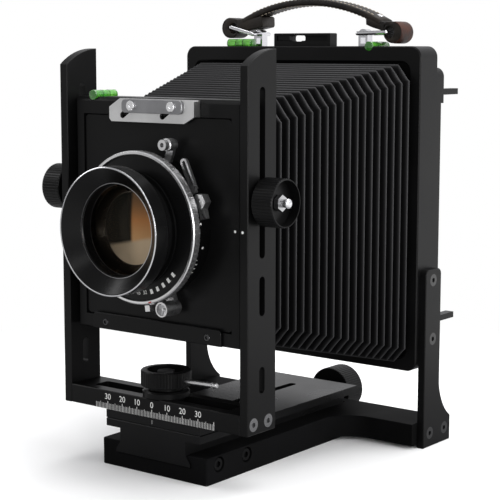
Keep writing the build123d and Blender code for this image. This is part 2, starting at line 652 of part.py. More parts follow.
def make_rise_knob(side):
    knob = knob_blank(RISE_KNOB_R, 12.0, 50, 10.9, 5.2, STUD_R + RUN)
    neck = Pos(0, 0, -0.9) * (Cylinder(5.3, 1.8) - Cylinder(STUD_R + RUN, 3))
    return Pos(side * 62.8, STUD_Y, TILT_Z) * Rot(0, 90 * side, 0) * (knob + neck)


# ---- Lens carrier and lens board ----
CARRIER_SCREWS = [(-33.5, 74.1), (33.5, 74.1)]                   # (x, z) in the foot bar
COVER_SCREWS = [(-13.0, 185.1), (13.0, 185.1)]                   # (x, z) through the lock's cover
SMALL_SHANK_R = 1.2
FOOT_HEAD_R = 1.85
COVER_HEAD_R = 2.5
LEVEL_FRONT_X = -41.5
LOCK_DIRECTION = (0.82, 0.572)                                   # (x, z) the board lock slides along
LOCK_TRAVEL = 7.5


def make_lens_carrier():
    body = block(-CARRIER_HALF, CARRIER_HALF, CARRIER_FRONT, CARRIER_REAR, CARRIER_BOTTOM, CARRIER_TOP)
    body = chamfer(body.edges().filter_by(Axis.X).group_by(Axis.Z)[-1].group_by(Axis.Y)[0], 1.6)
    body = bevelled(body, Axis.Y, -1)
    body -= block(-47.9, 47.9, CARRIER_FRONT - 1, BOARD_REAR, BOARD_BOTTOM - 0.3, BOARD_TOP + 0.3)
    body -= rounded(block(-41.0, 41.0, BOARD_REAR - 1, CARRIER_REAR + 1, 83.0, 174.0), Axis.Y, 6.0)
    for side in (-1, 1):
        lo, hi = sorted((side * 45.9, side * (CARRIER_HALF + 1)))
        body -= rod_x(TRUNNION_PIN_R + RUN, lo, hi, STUD_Y, TILT_Z)
    body -= rod_y(VIAL_R, CARRIER_FRONT - 1, CARRIER_FRONT + VIAL_LENGTH, LEVEL_FRONT_X, CARRIER_TOP + 0.8)
    for x, z in CARRIER_SCREWS + COVER_SCREWS:
        body -= rod_y(SMALL_SHANK_R, CARRIER_FRONT - 1, CARRIER_FRONT + 6, x, z)
    return body


def make_front_level():
    return rod_y(VIAL_R, CARRIER_FRONT, CARRIER_REAR - 0.2, LEVEL_FRONT_X, CARRIER_TOP + 0.8)


def make_board_foot_bar():
    bar = block(-42.3, 42.3, CARRIER_FRONT - 1.4, CARRIER_FRONT, CARRIER_BOTTOM, 78.8)
    bar = fillet(bar.edges().filter_by(Axis.Y).group_by(Axis.Z)[-1], 2.5)
    bar = bevelled(bar, Axis.Y, -1, 0.3)
    for x, z in CARRIER_SCREWS:
        bar -= rod_y(FOOT_HEAD_R + 0.05, CARRIER_FRONT - 2, CARRIER_FRONT - 0.6, x, z)
        bar -= rod_y(SMALL_SHANK_R, CARRIER_FRONT - 2, CARRIER_FRONT + 1, x, z)
    return bar


def make_carrier_screws():
    def screw(x, z, face_y, head_r, head_h):
        head = bevelled(rod_y(head_r, face_y - head_h, face_y, x, z), Axis.Y, -1, 0.25)
        socket = Pos(x, face_y - head_h + 0.6, z) * Rot(90, 0, 0) * hex_prism(1.7, 2)
        return rod_y(SMALL_SHANK_R, face_y, CARRIER_FRONT + 6, x, z) + head - socket

    foot = [screw(x, z, CARRIER_FRONT - 0.6, FOOT_HEAD_R, 0.9) for x, z in CARRIER_SCREWS]
    cover = [screw(x, z, CARRIER_FRONT - 2.9, COVER_HEAD_R, 1.1) for x, z in COVER_SCREWS]
    return Compound(children=foot + cover)


def lock_slot(x, z):
    """A slot from one cover screw towards the lower left, along the lock's travel."""
    width, spare = 3.2, 0.8
    length = LOCK_TRAVEL + 2 * spare
    along_x, along_z = LOCK_DIRECTION
    angle = math.degrees(math.atan2(along_z, along_x))
    mid_x, mid_z = x - along_x * LOCK_TRAVEL / 2, z - along_z * LOCK_TRAVEL / 2
    slot = extrude(SlotOverall(length + width, width), 6, both=True)
    return Pos(mid_x, CARRIER_FRONT, mid_z) * Rot(0, -angle, 0) * Rot(90, 0, 0) * slot


def make_board_lock():
    """The bright plate whose lower edge holds the lens board: it slides up and to the right."""
    points = [(-28.8, 184.3), (-21.6, 188.6), (29.0, 188.6), (29.0, 182.2), (25.4, 180.0), (20.0, 177.1),
              (-27.4, 177.1), (-28.8, 178.5)]
    y1 = CARRIER_FRONT - 0.3
    plate = front_profile(points, y1 - 1.3, y1)
    plate += block(27.6, 29.0, y1 - 4.6, y1, 180.6, 188.0)
    for x, z in COVER_SCREWS:
        plate -= lock_slot(x, z)
    return plate


def make_lock_cover():
    y1 = CARRIER_FRONT - 1.8
    cover = block(-19.5, 19.5, y1 - 1.1, y1, 181.6, 188.2)
    cover = bevelled(rounded(cover, Axis.Y, 2.2), Axis.Y, -1, 0.2)
    for x, z in COVER_SCREWS:
        cover += rod_y(1.5, y1, CARRIER_FRONT, x, z)
        cover -= rod_y(SMALL_SHANK_R, y1 - 2, CARRIER_FRONT + 1, x, z)
    return cover


def make_lens_board():
    board = block(-BOARD_HALF, BOARD_HALF, BOARD_FRONT, BOARD_REAR, BOARD_BOTTOM, BOARD_TOP)
    board = bevelled(rounded(board, Axis.Y, 2.5), Axis.Y, -1, 0.3)
    return board - rod_y(SHUTTER_HOLE_R, BOARD_FRONT - 1, BOARD_REAR + 1, 0, LENS_Z)


def make_bellows_front_ring():
    half, z0, z1 = BELLOWS_FRONT
    y0, y1 = CARRIER_REAR, BELLOWS_FRONT_Y - 0.1
    outer = rounded(block(-half + 1.5, half - 1.5, y0, y1, z0 + 2.6, z1 - 2.6), Axis.Y, 3)
    return outer - rounded(block(-41, 41, y0 - 1, y1 + 1, 83.0, 174.0), Axis.Y, 6)


# ---- Bellows ----
def bellows_section(half, z0, z1, cut, y):
    points = [(-half, z0 + cut), (-half + cut, z0), (half - cut, z0), (half, z0 + cut), (half, z1 - cut),
              (half - cut, z1), (-half + cut, z1), (-half, z1 - cut)]
    return Pos(0, y, 0) * (Plane.XZ * make_face(Polyline(*points, close=True)))


def make_bellows():
    """A tapered tube with cut corners, standing for the pleated cloth."""
    front_half, front_z0, front_z1 = BELLOWS_FRONT
    rear_half, rear_z0, rear_z1 = BELLOWS_REAR
    wall = BELLOWS_WALL
    outer = loft([bellows_section(front_half, front_z0, front_z1, 12, BELLOWS_FRONT_Y),
                  bellows_section(rear_half, rear_z0, rear_z1, 16, BELLOWS_REAR_Y)])
    inner = loft([bellows_section(front_half - wall, front_z0 + wall, front_z1 - wall, 10, BELLOWS_FRONT_Y),
                  bellows_section(rear_half - wall, rear_z0 + wall, rear_z1 - wall, 14, BELLOWS_REAR_Y)])
    return outer - inner


# ---- Shutter and lens ----
def polar(radius, degrees):
    """A point (x, z) about the lens axis, with 0 degrees to the right and 90 degrees up."""
    angle = math.radians(degrees)
    return radius * math.cos(angle), LENS_Z + radius * math.sin(angle)


def make_shutter_case():
    throat = SHUTTER_HOLE_R - 0.3
    points = [(18.0, -10.2), (27.1, -10.2), (27.1, -12.2), (FACE_R, -10.6), (FACE_R, -9.3), (33.6, -9.3),
              (33.6, -6.3), (CASE_R, -6.3), (CASE_R, 4.8), (throat, 4.8), (throat, 12.0), (18.0, 12.0)]
    case = turned(points)
    return case - turned([(17.0, -1.0), (20.5, -1.0), (20.5, 1.0), (17.0, 1.0)])


def make_speed_ring():
    inner = FACE_R + 0.2
    ring = turned([(inner, -11.4), (RING_R - 0.5, -11.4), (RING_R, -10.9), (RING_R, -6.9), (33.9, -6.9),
                   (33.9, -9.0), (inner, -9.0)])
    teeth = 96
    places = [polar(RING_R + 0.15, 360 * i / teeth) for i in range(teeth)]
    return ring - [rod_y(0.45, FRONT - 10.4, FRONT - 6, x, z) for x, z in places]


def make_iris():
    """A thin disc with a five-sided opening, in the middle of the shutter."""
    disc = rod_y(20.2, FRONT - 0.5, FRONT + 0.5, 0, LENS_Z)
    opening = Plane.XZ * RegularPolygon(9.0, 5)
    return disc - Pos(0, FRONT + 2, LENS_Z) * extrude(opening, 4)


APERTURE_DEGREES = -81.0
SYNC_DEGREES = -69.5
CABLE_DEGREES = 70.5
COCK_DEGREES = 33.0
RELEASE_DEGREES = 22.5


def tab_on_ring(radius0, radius1, width, y0, y1, degrees):
    """A small block that stands out from the lens axis at an angle."""
    tab = block(radius0, radius1, y0, y1, -width / 2, width / 2)
    return Pos(0, 0, LENS_Z) * Rot(0, -degrees, 0) * tab


def make_aperture_lever():
    y0, y1 = FRONT - 5.9, FRONT - 4.9
    ring = rod_y(37.0, y0, y1, 0, LENS_Z) - rod_y(CASE_R + 0.3, y0 - 1, y1 + 1, 0, LENS_Z)
    keep = Pos(0, 0, LENS_Z) * Rot(0, -APERTURE_DEGREES, 0) * block(10, 60, y0 - 1, y1 + 1, -9, 9)
    arc = ring & keep
    lever = arc + tab_on_ring(36.0, 41.2, 3.0, y0, y1, APERTURE_DEGREES)
    return lever + tab_on_ring(38.2, 41.2, 3.0, FRONT - 9.6, y1, APERTURE_DEGREES)


COCK_FOOT = (30.8, 19.8)                        # (x, z) from the lens axis
COCK_TIP = (24.0, 34.4)


def make_cocking_lever():
    """A loop of flat strip that stands out past the case: it is pushed round to set the shutter."""
    foot_x, foot_z = COCK_FOOT
    tip_x, tip_z = COCK_TIP
    length = math.dist(COCK_FOOT, COCK_TIP)
    lean = math.degrees(math.atan2(tip_x - foot_x, tip_z - foot_z))
    y0, y1 = FRONT - 3.8, FRONT - 2.2
    half = 2.0
    loop = block(-half, half, y0, y1, 0, length)
    loop = fillet(loop.edges().filter_by(Axis.Y).group_by(Axis.Z)[-1], half - 0.1)
    window = rounded(block(-0.9, 0.9, y0 - 1, y1 + 1, 2.4, length - 1.1), Axis.Y, 0.85)
    lever = Pos(foot_x, 0, LENS_Z + foot_z) * Rot(0, lean, 0) * (loop - window)
    lever += tab_on_ring(CASE_R, 37.6, 3.6, y0, y1, COCK_DEGREES)
    return lever - rod_y(CASE_R + 0.4, y0 - 1, y1 + 1, 0, LENS_Z)


def make_release_lever():
    y0, y1 = FRONT - 3.8, FRONT - 0.6
    x, z = polar(38.0, RELEASE_DEGREES)
    lever = tab_on_ring(CASE_R, 38.6, 5.0, y0 + 0.8, y1, RELEASE_DEGREES - 9.0)
    lever += tab_on_ring(CASE_R, 37.0, 9.0, y0 + 0.8, y1, RELEASE_DEGREES - 4.5)
    lever += Pos(x, y1, z) * Rot(90, 0, 0) * hex_prism(7.0, 4.4)
    return lever - rod_y(CASE_R + 0.4, y0 - 2, y1 + 1, 0, LENS_Z)


def make_cable_socket():
    """A bored pin with a collar, which takes the tip of a cable release."""
    x, z = polar(43.2, CABLE_DEGREES)
    body = rod_y(2.6, FRONT - 7.5, FRONT + 1.5, x, z)
    body += bevelled(rod_y(3.1, FRONT - 4.6, FRONT - 0.4, x, z), Axis.Y, -1, 0.3)
    body -= rod_y(1.1, FRONT - 8.5, FRONT - 2.5, x, z)
    return body + tab_on_ring(CASE_R, 41.0, 4.0, FRONT - 0.5, FRONT + 1.5, CABLE_DEGREES)


def make_sync_socket():
    """A round flash socket: an outer sleeve with a pin in the middle."""
    x, z = polar(41.7, SYNC_DEGREES)
    body = rod_y(3.7, FRONT - 9.0, FRONT + 2.0, x, z)
    body -= rod_y(3.0, FRONT - 10.0, FRONT - 4.0, x, z)
    body += rod_y(0.6, FRONT - 8.0, FRONT - 3.5, x, z)
    return body + tab_on_ring(CASE_R, 38.6, 5.0, FRONT - 1.0, FRONT + 2.0, SYNC_DEGREES)


def make_front_barrel():
    """A bell: a bevelled name ring, a seat for the front glass, then a funnel to the shutter."""
    points = [(31.2, -30.6), (30.7, -31.2), (30.0, -31.2), (22.8, -24.8), (FRONT_GLASS_R, -24.2),
              (FRONT_GLASS_R, -16.6), (21.0, -16.6), (INNER_GLASS_R, -12.6), (INNER_GLASS_R, -10.3),
              (26.9, -10.3), (26.9, -13.4), (28.6, -13.4), (28.6, -14.6), (27.0, -14.6), (27.0, -17.0),
              (31.2, -22.6)]
    return turned(points)


def make_rear_barrel():
    points = [(20.2, 12.1), (20.2, 20.0), (17.5, 27.0), (13.8, 27.0), (13.8, 20.0), (15.6, 12.1)]
    return turned(points)


def make_retaining_ring():
    points = [(26.0, 7.25), (26.0, 10.2), (SHUTTER_HOLE_R - 0.25, 10.2), (SHUTTER_HOLE_R - 0.25, 7.25)]
    return turned(points)


def lens_element(radius, front_y, front_rise, rear_y, rear_rise):
    """A glass disc whose faces bulge to the front by their rise. The y values are at its rim."""
    def surface(rim_y, rise):
        ball_r = (radius ** 2 + rise ** 2) / (2 * rise)
        half_turn = math.asin(radius / ball_r) / 2
        halfway = (ball_r * math.sin(half_turn), rim_y - rise + ball_r * (1 - math.cos(half_turn)))
        return ThreePointArc((0, rim_y - rise), halfway, (radius, rim_y))

    axis_line = Line((0, front_y - front_rise), (0, rear_y - rear_rise))
    rim_line = Line((radius, front_y), (radius, rear_y))
    section = make_face([surface(front_y, front_rise), rim_line, surface(rear_y, rear_rise), axis_line])
    return Pos(0, FRONT, LENS_Z) * revolve(section, axis=Axis.Y)


def make_lens_glass():
    """The front element, the one behind it at the shutter, and the rear element."""
    front = lens_element(FRONT_GLASS_R - 0.05, -18.6, 2.6, -16.7, 2.2)
    inner = lens_element(INNER_GLASS_R - 0.05, -12.3, 1.4, -10.5, 0.6)
    rear = lens_element(13.7, 21.5, -1.6, 24.0, -2.6)
    return Compound(children=[front, inner, rear])


# ---- Build every node ----
NODES = {
    "base_block": make_base_block,
    "tripod_bush": make_tripod_bush,
    "gib_screws": make_gib_screws,
    "screw_bearing": make_screw_bearing,
    "upright_left": lambda: make_upright(-1),
    "upright_right": lambda: make_upright(1),
    "upright_screws": make_upright_screws,
    "rear_frame": make_rear_frame,
    "frame_levels": make_frame_levels,
    "bellows_rear_ring": make_bellows_rear_ring,
    "latch_bracket": make_latch_bracket,
    "latch_bar": make_latch_bar,
    "handle_posts": make_handle_posts,
    "handle_ring_left": lambda: make_handle_ring(-1),
    "handle_ring_right": lambda: make_handle_ring(1),
    "handle_strap": make_handle_strap,
    "back_board": make_back_board,
    "panel_frame": make_panel_frame,
    "ground_glass": make_ground_glass,
    "panel_springs": make_panel_springs,
    "holder_lock_top": lambda: make_holder_lock(1),
    "holder_lock_bottom": lambda: make_holder_lock(-1),
    "focus_rail": make_focus_rail,
    "carriage_plate": make_carriage_plate,
    "lead_nut": make_lead_nut,
    "lead_screw": make_lead_screw,
    "focus_knob": make_focus_knob,
    "clamp_stud": make_clamp_stud,
    "slot_block": make_slot_block,
    "clamp_knob": make_clamp_knob,
    "clamp_lever": make_clamp_lever,
    "crossbar": make_crossbar,
    "side_plate_left": lambda: make_side_plate(-1),
    "side_plate_right": lambda: make_side_plate(1),
    "standard_screws": make_standard_screws,
    "trunnion_left": lambda: make_trunnion(-1),
    "trunnion_right": lambda: make_trunnion(1),
    "rise_knob_left": lambda: make_rise_knob(-1),
    "rise_knob_right": lambda: make_rise_knob(1),
    "lens_carrier": make_lens_carrier,
    "front_level": make_front_level,
    "board_foot_bar": make_board_foot_bar,
    "carrier_screws": make_carrier_screws,
    "board_lock": make_board_lock,
    "lock_cover": make_lock_cover,
    "lens_board": make_lens_board,
    "bellows_front_ring": make_bellows_front_ring,
    "bellows": make_bellows,
    "shutter_case": make_shutter_case,
    "speed_ring": make_speed_ring,
    "iris_blades": make_iris,
    "aperture_lever": make_aperture_lever,
    "cocking_lever": make_cocking_lever,
    "release_lever": make_release_lever,
    "cable_socket": make_cable_socket,
    "sync_socket": make_sync_socket,
    "front_barrel": make_front_barrel,
    "rear_barrel": make_rear_barrel,
    "retaining_ring": make_retaining_ring,
    "lens_glass": make_lens_glass,
}

os.makedirs("parts", exist_ok=True)
for name, make in NODES.items():
    export_step(make(), f"parts/{name}.step")
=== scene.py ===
import math

import bmesh
import bpy
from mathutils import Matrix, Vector


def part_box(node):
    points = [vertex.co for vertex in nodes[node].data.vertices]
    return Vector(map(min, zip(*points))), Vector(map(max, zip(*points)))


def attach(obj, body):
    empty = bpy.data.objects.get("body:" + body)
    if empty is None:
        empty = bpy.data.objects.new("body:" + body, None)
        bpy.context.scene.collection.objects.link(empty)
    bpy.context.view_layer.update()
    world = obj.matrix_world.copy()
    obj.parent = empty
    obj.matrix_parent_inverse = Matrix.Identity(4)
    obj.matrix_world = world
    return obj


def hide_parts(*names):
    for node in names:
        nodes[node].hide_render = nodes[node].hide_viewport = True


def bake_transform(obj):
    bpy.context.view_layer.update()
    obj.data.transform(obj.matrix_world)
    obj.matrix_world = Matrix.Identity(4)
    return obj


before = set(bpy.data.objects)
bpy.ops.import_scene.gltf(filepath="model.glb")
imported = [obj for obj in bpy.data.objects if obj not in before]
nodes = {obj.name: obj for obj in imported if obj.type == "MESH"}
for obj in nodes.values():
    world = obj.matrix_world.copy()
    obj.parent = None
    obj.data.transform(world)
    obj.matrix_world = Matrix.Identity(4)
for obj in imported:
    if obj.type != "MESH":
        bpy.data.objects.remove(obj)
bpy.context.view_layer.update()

MM = 0.001
scene = bpy.context.scene


# ---- Places read from the frame ----
def low(node):
    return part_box(node)[0]


def high(node):
    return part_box(node)[1]


def middle(node):
    return (low(node) + high(node)) / 2


FRAME_FRONT = low("rear_frame").y
FRAME_TOP = high("rear_frame").z
BAR_FRONT = low("crossbar").y
LENS_Z = middle("speed_ring").z
RING_FRONT = low("speed_ring").y
TILT_Z = middle("trunnion_right").z
STUD_Y = middle("trunnion_right").y
BELLOWS_LOW, BELLOWS_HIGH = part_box("bellows")


# ---- Material helpers ----
class Shader:
    """Builds one node material round a Principled shader."""

    def __init__(self, name, color, roughness, metallic=0.0):
        self.material = bpy.data.materials.new(name)
        self.material.use_nodes = True
        self.material.diffuse_color = (*color, 1.0)
        self.tree = self.material.node_tree
        self.tree.nodes.clear()
        self.output = self.add("ShaderNodeOutputMaterial")
        self.principled = self.add("ShaderNodeBsdfPrincipled")
        self.link(self.principled, "BSDF", self.output, "Surface")
        self.set("Base Color", (*color, 1.0))
        self.set("Roughness", roughness)
        self.set("Metallic", metallic)
        self.coords = self.add("ShaderNodeTexCoord")

    def add(self, kind, **values):
        node = self.tree.nodes.new(kind)
        for key, value in values.items():
            setattr(node, key, value)
        return node

    def set(self, socket, value):
        self.principled.inputs[socket].default_value = value

    def link(self, a, out, b, into):
        self.tree.links.new(a.outputs[out], b.inputs[into])

    def mapping(self, scale):
        node = self.add("ShaderNodeMapping")
        node.inputs["Scale"].default_value = scale
        self.link(self.coords, "Object", node, "Vector")
        return node

    def noise(self, scale, detail=3.0, stretch=(1, 1, 1)):
        node = self.add("ShaderNodeTexNoise")
        node.inputs["Scale"].default_value = scale
        node.inputs["Detail"].default_value = detail
        self.link(self.mapping(stretch), "Vector", node, "Vector")
        return node

    def ramp(self, source, out, stops):
        node = self.add("ShaderNodeValToRGB")
        elements = node.color_ramp.elements
        while len(elements) < len(stops):
            elements.new(0.5)
        for element, (position, color) in zip(elements, stops):
            element.position = position
            element.color = (*color, 1.0)
        self.link(source, out, node, "Fac")
        return node

    def vary_color(self, source, out, dark, light, a=0.35, b=0.65):
        node = self.ramp(source, out, [(a, dark), (b, light)])
        self.link(node, "Color", self.principled, "Base Color")

    def vary_roughness(self, source, out, smooth, rough, a=0.3, b=0.7):
        node = self.add("ShaderNodeMapRange")
        node.inputs["From Min"].default_value = a
        node.inputs["From Max"].default_value = b
        node.inputs["To Min"].default_value = smooth
        node.inputs["To Max"].default_value = rough
        self.link(source, out, node, "Value")
        self.link(node, "Result", self.principled, "Roughness")

    def bump(self, source, out, strength, distance):
        node = self.add("ShaderNodeBump")
        node.inputs["Strength"].default_value = strength
        node.inputs["Distance"].default_value = distance
        self.link(source, out, node, "Height")
        self.link(node, "Normal", self.principled, "Normal")


def anodised(name, level, roughness, spread=0.05, shine=0.13):
    """Black anodised metal: a fine blasted grain, with faint cloudy changes in its gloss."""
    s = Shader(name, (level, level, level * 1.06), roughness)
    s.set("Specular IOR Level", shine)
    grain = s.noise(2600.0, 2.0)
    cloud = s.noise(28.0, 4.0)
    s.vary_color(cloud, "Fac", (level * 0.85,) * 3, (level * 1.15, level * 1.15, level * 1.22))
    s.vary_roughness(cloud, "Fac", roughness - spread, roughness + spread)
    s.bump(grain, "Fac", 0.22, 0.00006)
    return s.material


def turned_metal(name, color, roughness, brush=(1, 1, 40), bump=0.12):
    """Bright metal with fine tool marks along one direction and faint handling marks."""
    s = Shader(name, color, roughness, 1.0)
    marks = s.noise(420.0, 4.0, brush)
    smudge = s.noise(60.0, 5.0)
    s.vary_color(smudge, "Fac", tuple(c * 0.84 for c in color), color)
    s.vary_roughness(marks, "Fac", roughness * 0.8, roughness * 1.35)
    s.bump(marks, "Fac", bump, 0.00003)
    return s.material


def bellows_material():
    """Matte coated cloth, with painted shade in the folds and a painted highlight along the crests."""
    s = Shader("bellows_cloth", (0.02, 0.02, 0.021), 0.62)
    crest = s.add("ShaderNodeAttribute", attribute_name="crest")
    weave = s.noise(1800.0, 2.0)
    # painted shade: near black in the folds; painted highlight: lighter along the crests, by the crest value
    fold_shade_and_crest_highlight = s.ramp(crest, "Fac", [(0.0, (0.0006, 0.0006, 0.0007)), (0.72, (0.0024, 0.0024, 0.0026)),
                                   (0.90, (0.012, 0.012, 0.0125)), (1.0, (0.060, 0.060, 0.062))])
    s.link(fold_shade_and_crest_highlight, "Color", s.principled, "Base Color")
    s.bump(weave, "Fac", 0.3, 0.00008)
    s.set("Specular IOR Level", 0.05)
    return s.material


def leather_material(name, dark, light):
    """Grained leather: cells for the grain, and worn lighter patches."""
    s = Shader(name, dark, 0.5)
    grain = s.add("ShaderNodeTexVoronoi")
    grain.inputs["Scale"].default_value = 950.0
    s.link(s.mapping((1, 1, 1)), "Vector", grain, "Vector")
    wear = s.noise(120.0, 5.0)
    s.vary_color(wear, "Fac", dark, light, 0.38, 0.72)
    s.vary_roughness(wear, "Fac", 0.42, 0.6)
    s.bump(grain, "Distance", 0.5, 0.00018)
    s.set("Specular IOR Level", 0.22)
    return s.material


def thread_material():
    s = Shader("waxed_thread", (0.42, 0.36, 0.28), 0.7)
    twist = s.add("ShaderNodeTexWave")
    twist.inputs["Scale"].default_value = 900.0
    s.link(s.mapping((1, 1, 1)), "Vector", twist, "Vector")
    s.bump(twist, "Fac", 0.5, 0.0001)
    s.vary_color(twist, "Fac", (0.30, 0.25, 0.19), (0.50, 0.43, 0.34))
    return s.material


def vial_material(name, dark, light):
    """A level's tinted tube, with liquid inside it."""
    s = Shader(name, light, 0.06)
    s.set("Coat Weight", 1.0)
    s.set("Coat Roughness", 0.03)
    s.set("Transmission Weight", 0.55)
    s.set("IOR", 1.45)
    swirl = s.noise(90.0, 3.0)
    s.vary_color(swirl, "Fac", dark, light, 0.3, 0.7)
    return s.material


def bubble_material():
    s = Shader("level_bubble", (0.80, 0.95, 0.62), 0.08)
    s.set("Coat Weight", 1.0)
    glow = s.noise(400.0, 1.0)
    s.vary_color(glow, "Fac", (0.66, 0.92, 0.45), (0.92, 1.0, 0.80))
    return s.material


# the Mix node's sockets for colours
COLOR_A, COLOR_B, COLOR_OUT = 6, 7, 2
FRONT_ELEMENT_Y = (-0.1155, -0.1145)          # the front element ends between these


def glass_material():
    """Coated lens glass: a clear front element, and warm inner reflections painted into the colour of the one
    behind it, which also glows with them.
    """
    s = Shader("coated_glass", (0.010, 0.008, 0.007), 0.03)
    s.set("Specular IOR Level", 0.12)
    # noise that mottles the painted pale reflection
    pale_reflection_mottle = s.noise(60.0, 2.0)
    place = s.add("ShaderNodeSeparateXYZ")
    s.link(s.coords, "Object", place, "Vector")

    def band(out, start, end, base=place):
        node = s.add("ShaderNodeMapRange", interpolation_type="SMOOTHSTEP")
        node.inputs["From Min"].default_value = start
        node.inputs["From Max"].default_value = end
        s.link(base, out, node, "Value")
        return node

    def blend(factor, factor_out, a, b):
        """Mixes two sources, each a colour or a (node, output) pair."""
        node = s.add("ShaderNodeMix", data_type="RGBA")
        s.link(factor, factor_out, node, "Factor")
        for socket, source in ((COLOR_A, a), (COLOR_B, b)):
            if len(source) == 3:
                node.inputs[socket].default_value = (*source, 1.0)
            else:
                s.link(*source, node, socket)
        return node

    # painted reflections: dark on the left, warm on the right, and pale below a line across both
    right = band("X", -0.0012, 0.0012)
    warm = s.ramp(band("Z", LENS_Z - 0.010, LENS_Z + 0.017), "Result",
                  [(0.0, (0.34, 0.22, 0.12)), (0.55, (0.27, 0.13, 0.055)), (1.0, (0.10, 0.060, 0.035))])
    upper = blend(right, "Result", (0.004, 0.005, 0.005), (warm, "Color"))
    line = s.add("ShaderNodeMath", operation="MULTIPLY_ADD")
    line.inputs[1].default_value = -0.20
    s.link(place, "X", line, 0)
    s.link(place, "Z", line, 2)
    pale_reflection_region = band("Value", LENS_Z - 0.0050, LENS_Z - 0.0075, line)
    across = s.ramp(band("X", -0.014, 0.009), "Result",
                    [(0.0, (0.045, 0.042, 0.036)), (0.5, (0.11, 0.098, 0.080)), (1.0, (0.42, 0.35, 0.27))])
    pale = blend(pale_reflection_mottle, "Fac", (0.30, 0.26, 0.21), (across, "Color"))
    glow = blend(pale_reflection_region, "Result", (upper, COLOR_OUT), (pale, COLOR_OUT))
    # the painted reflections are the inner element's colour, and they also glow as emission
    s.link(glow, COLOR_OUT, s.principled, "Base Color")
    s.link(glow, COLOR_OUT, s.principled, "Emission Color")
    s.set("Emission Strength", 0.42)

    clear = s.add("ShaderNodeBsdfTransparent")
    clear.inputs["Color"].default_value = (0.90, 0.87, 0.82, 1.0)
    shine = s.add("ShaderNodeBsdfGlossy")
    shine.inputs["Roughness"].default_value = 0.02
    shine.inputs["Color"].default_value = (0.75, 0.55, 0.40, 1.0)
    edge = s.add("ShaderNodeFresnel")
    edge.inputs["IOR"].default_value = 1.10
    front = s.add("ShaderNodeMixShader")
    s.link(edge, "Fac", front, "Fac")
    s.link(clear, "BSDF", front, 1)
    s.link(shine, "BSDF", front, 2)
    both = s.add("ShaderNodeMixShader")
    s.link(band("Y", *FRONT_ELEMENT_Y), "Result", both, "Fac")
    s.link(front, "Shader", both, 1)
    s.link(s.principled, "BSDF", both, 2)
    s.link(both, "Shader", s.output, "Surface")
    return s.material


def ground_glass_material():
    s = Shader("ground_glass", (0.55, 0.58, 0.58), 0.45)
    s.set("Transmission Weight", 0.35)
    frost = s.noise(3500.0, 2.0)
    s.vary_roughness(frost, "Fac", 0.36, 0.55)
    s.bump(frost, "Fac", 0.25, 0.00004)
    return s.material


def paint_material(name, color):
    """The fill of an engraved mark: slightly uneven enamel."""
    s = Shader(name, color, 0.5)
    uneven = s.noise(900.0, 2.0)
    s.vary_color(uneven, "Fac", tuple(c * 0.8 for c in color), color)
    return s.material


def carrier_screw_material():
    """The screws of the board lock's cover are polished, and those in the foot bar are darkened."""
    s = Shader("carrier_screw_steel", (0.5, 0.5, 0.5), 0.25, 1.0)
    place = s.add("ShaderNodeSeparateXYZ")
    s.link(s.coords, "Object", place, "Vector")
    height = s.add("ShaderNodeMapRange")
    height.inputs["From Min"].default_value = LENS_Z - 0.001
    height.inputs["From Max"].default_value = LENS_Z + 0.001
    s.link(place, "Z", height, "Value")
    s.vary_color(height, "Result", (0.06, 0.06, 0.062), (0.86, 0.86, 0.87))
    marks = s.noise(700.0, 3.0)
    s.vary_roughness(marks, "Fac", 0.16, 0.34)
    return s.material


BLACK = anodised("anodised_black", 0.0036, 0.38)
BLACK_BASE = anodised("anodised_base", 0.0050, 0.55, 0.05, 0.02)
BLACK_BED = anodised("anodised_bed", 0.0040, 0.28, 0.03, 0.16)
BLACK_KNOB = anodised("anodised_knob", 0.0030, 0.32, 0.03, 0.14)
BLACK_SHUTTER = anodised("shutter_black", 0.0026, 0.27, 0.03, 0.16)
BLACK_MATT = anodised("flocked_black", 0.0012, 0.75, 0.05, 0.03)
BLACK_SCREW = anodised("screw_black", 0.010, 0.30, 0.03, 0.5)
STEEL = turned_metal("machined_steel", (0.50, 0.50, 0.51), 0.30)
GREY_STEEL = turned_metal("grey_steel", (0.26, 0.26, 0.265), 0.30)
DARK_STEEL = turned_metal("dark_steel", (0.16, 0.16, 0.165), 0.38)
CHROME = turned_metal("polished_chrome", (0.72, 0.72, 0.74), 0.14, (1, 1, 1), 0.05)
BRIGHT = turned_metal("bright_aluminium", (0.80, 0.80, 0.805), 0.30, (1, 30, 1))
SILVER_PLATE = turned_metal("brushed_silver", (0.70, 0.70, 0.70), 0.34, (1, 1, 60), 0.25)
GREY_COVER = turned_metal("grey_anodised", (0.30, 0.30, 0.31), 0.36, (1, 1, 1), 0.10)
BRASS = turned_metal("turned_brass", (0.62, 0.45, 0.20), 0.28)
CLOTH = bellows_material()
LEATHER = leather_material("leather_dark", (0.0045, 0.0034, 0.0026), (0.021, 0.0155, 0.0115))
LEATHER_RED = leather_material("leather_red_brown", (0.014, 0.0045, 0.003), (0.060, 0.017, 0.008))
THREAD = thread_material()
VIAL = vial_material("level_liquid", (0.05, 0.42, 0.03), (0.30, 0.92, 0.10))
BUBBLE = bubble_material()
VIAL_END = vial_material("level_end", (0.03, 0.20, 0.02), (0.10, 0.42, 0.05))
GLASS = glass_material()
SCREEN = ground_glass_material()
WHITE_PAINT = paint_material("white_enamel", (0.90, 0.90, 0.88))
GREY_PAINT = paint_material("grey_enamel", (0.42, 0.42, 0.42))
RED_PAINT = paint_material("red_enamel", (0.55, 0.03, 0.02))
SCREW_MIX = carrier_screw_material()

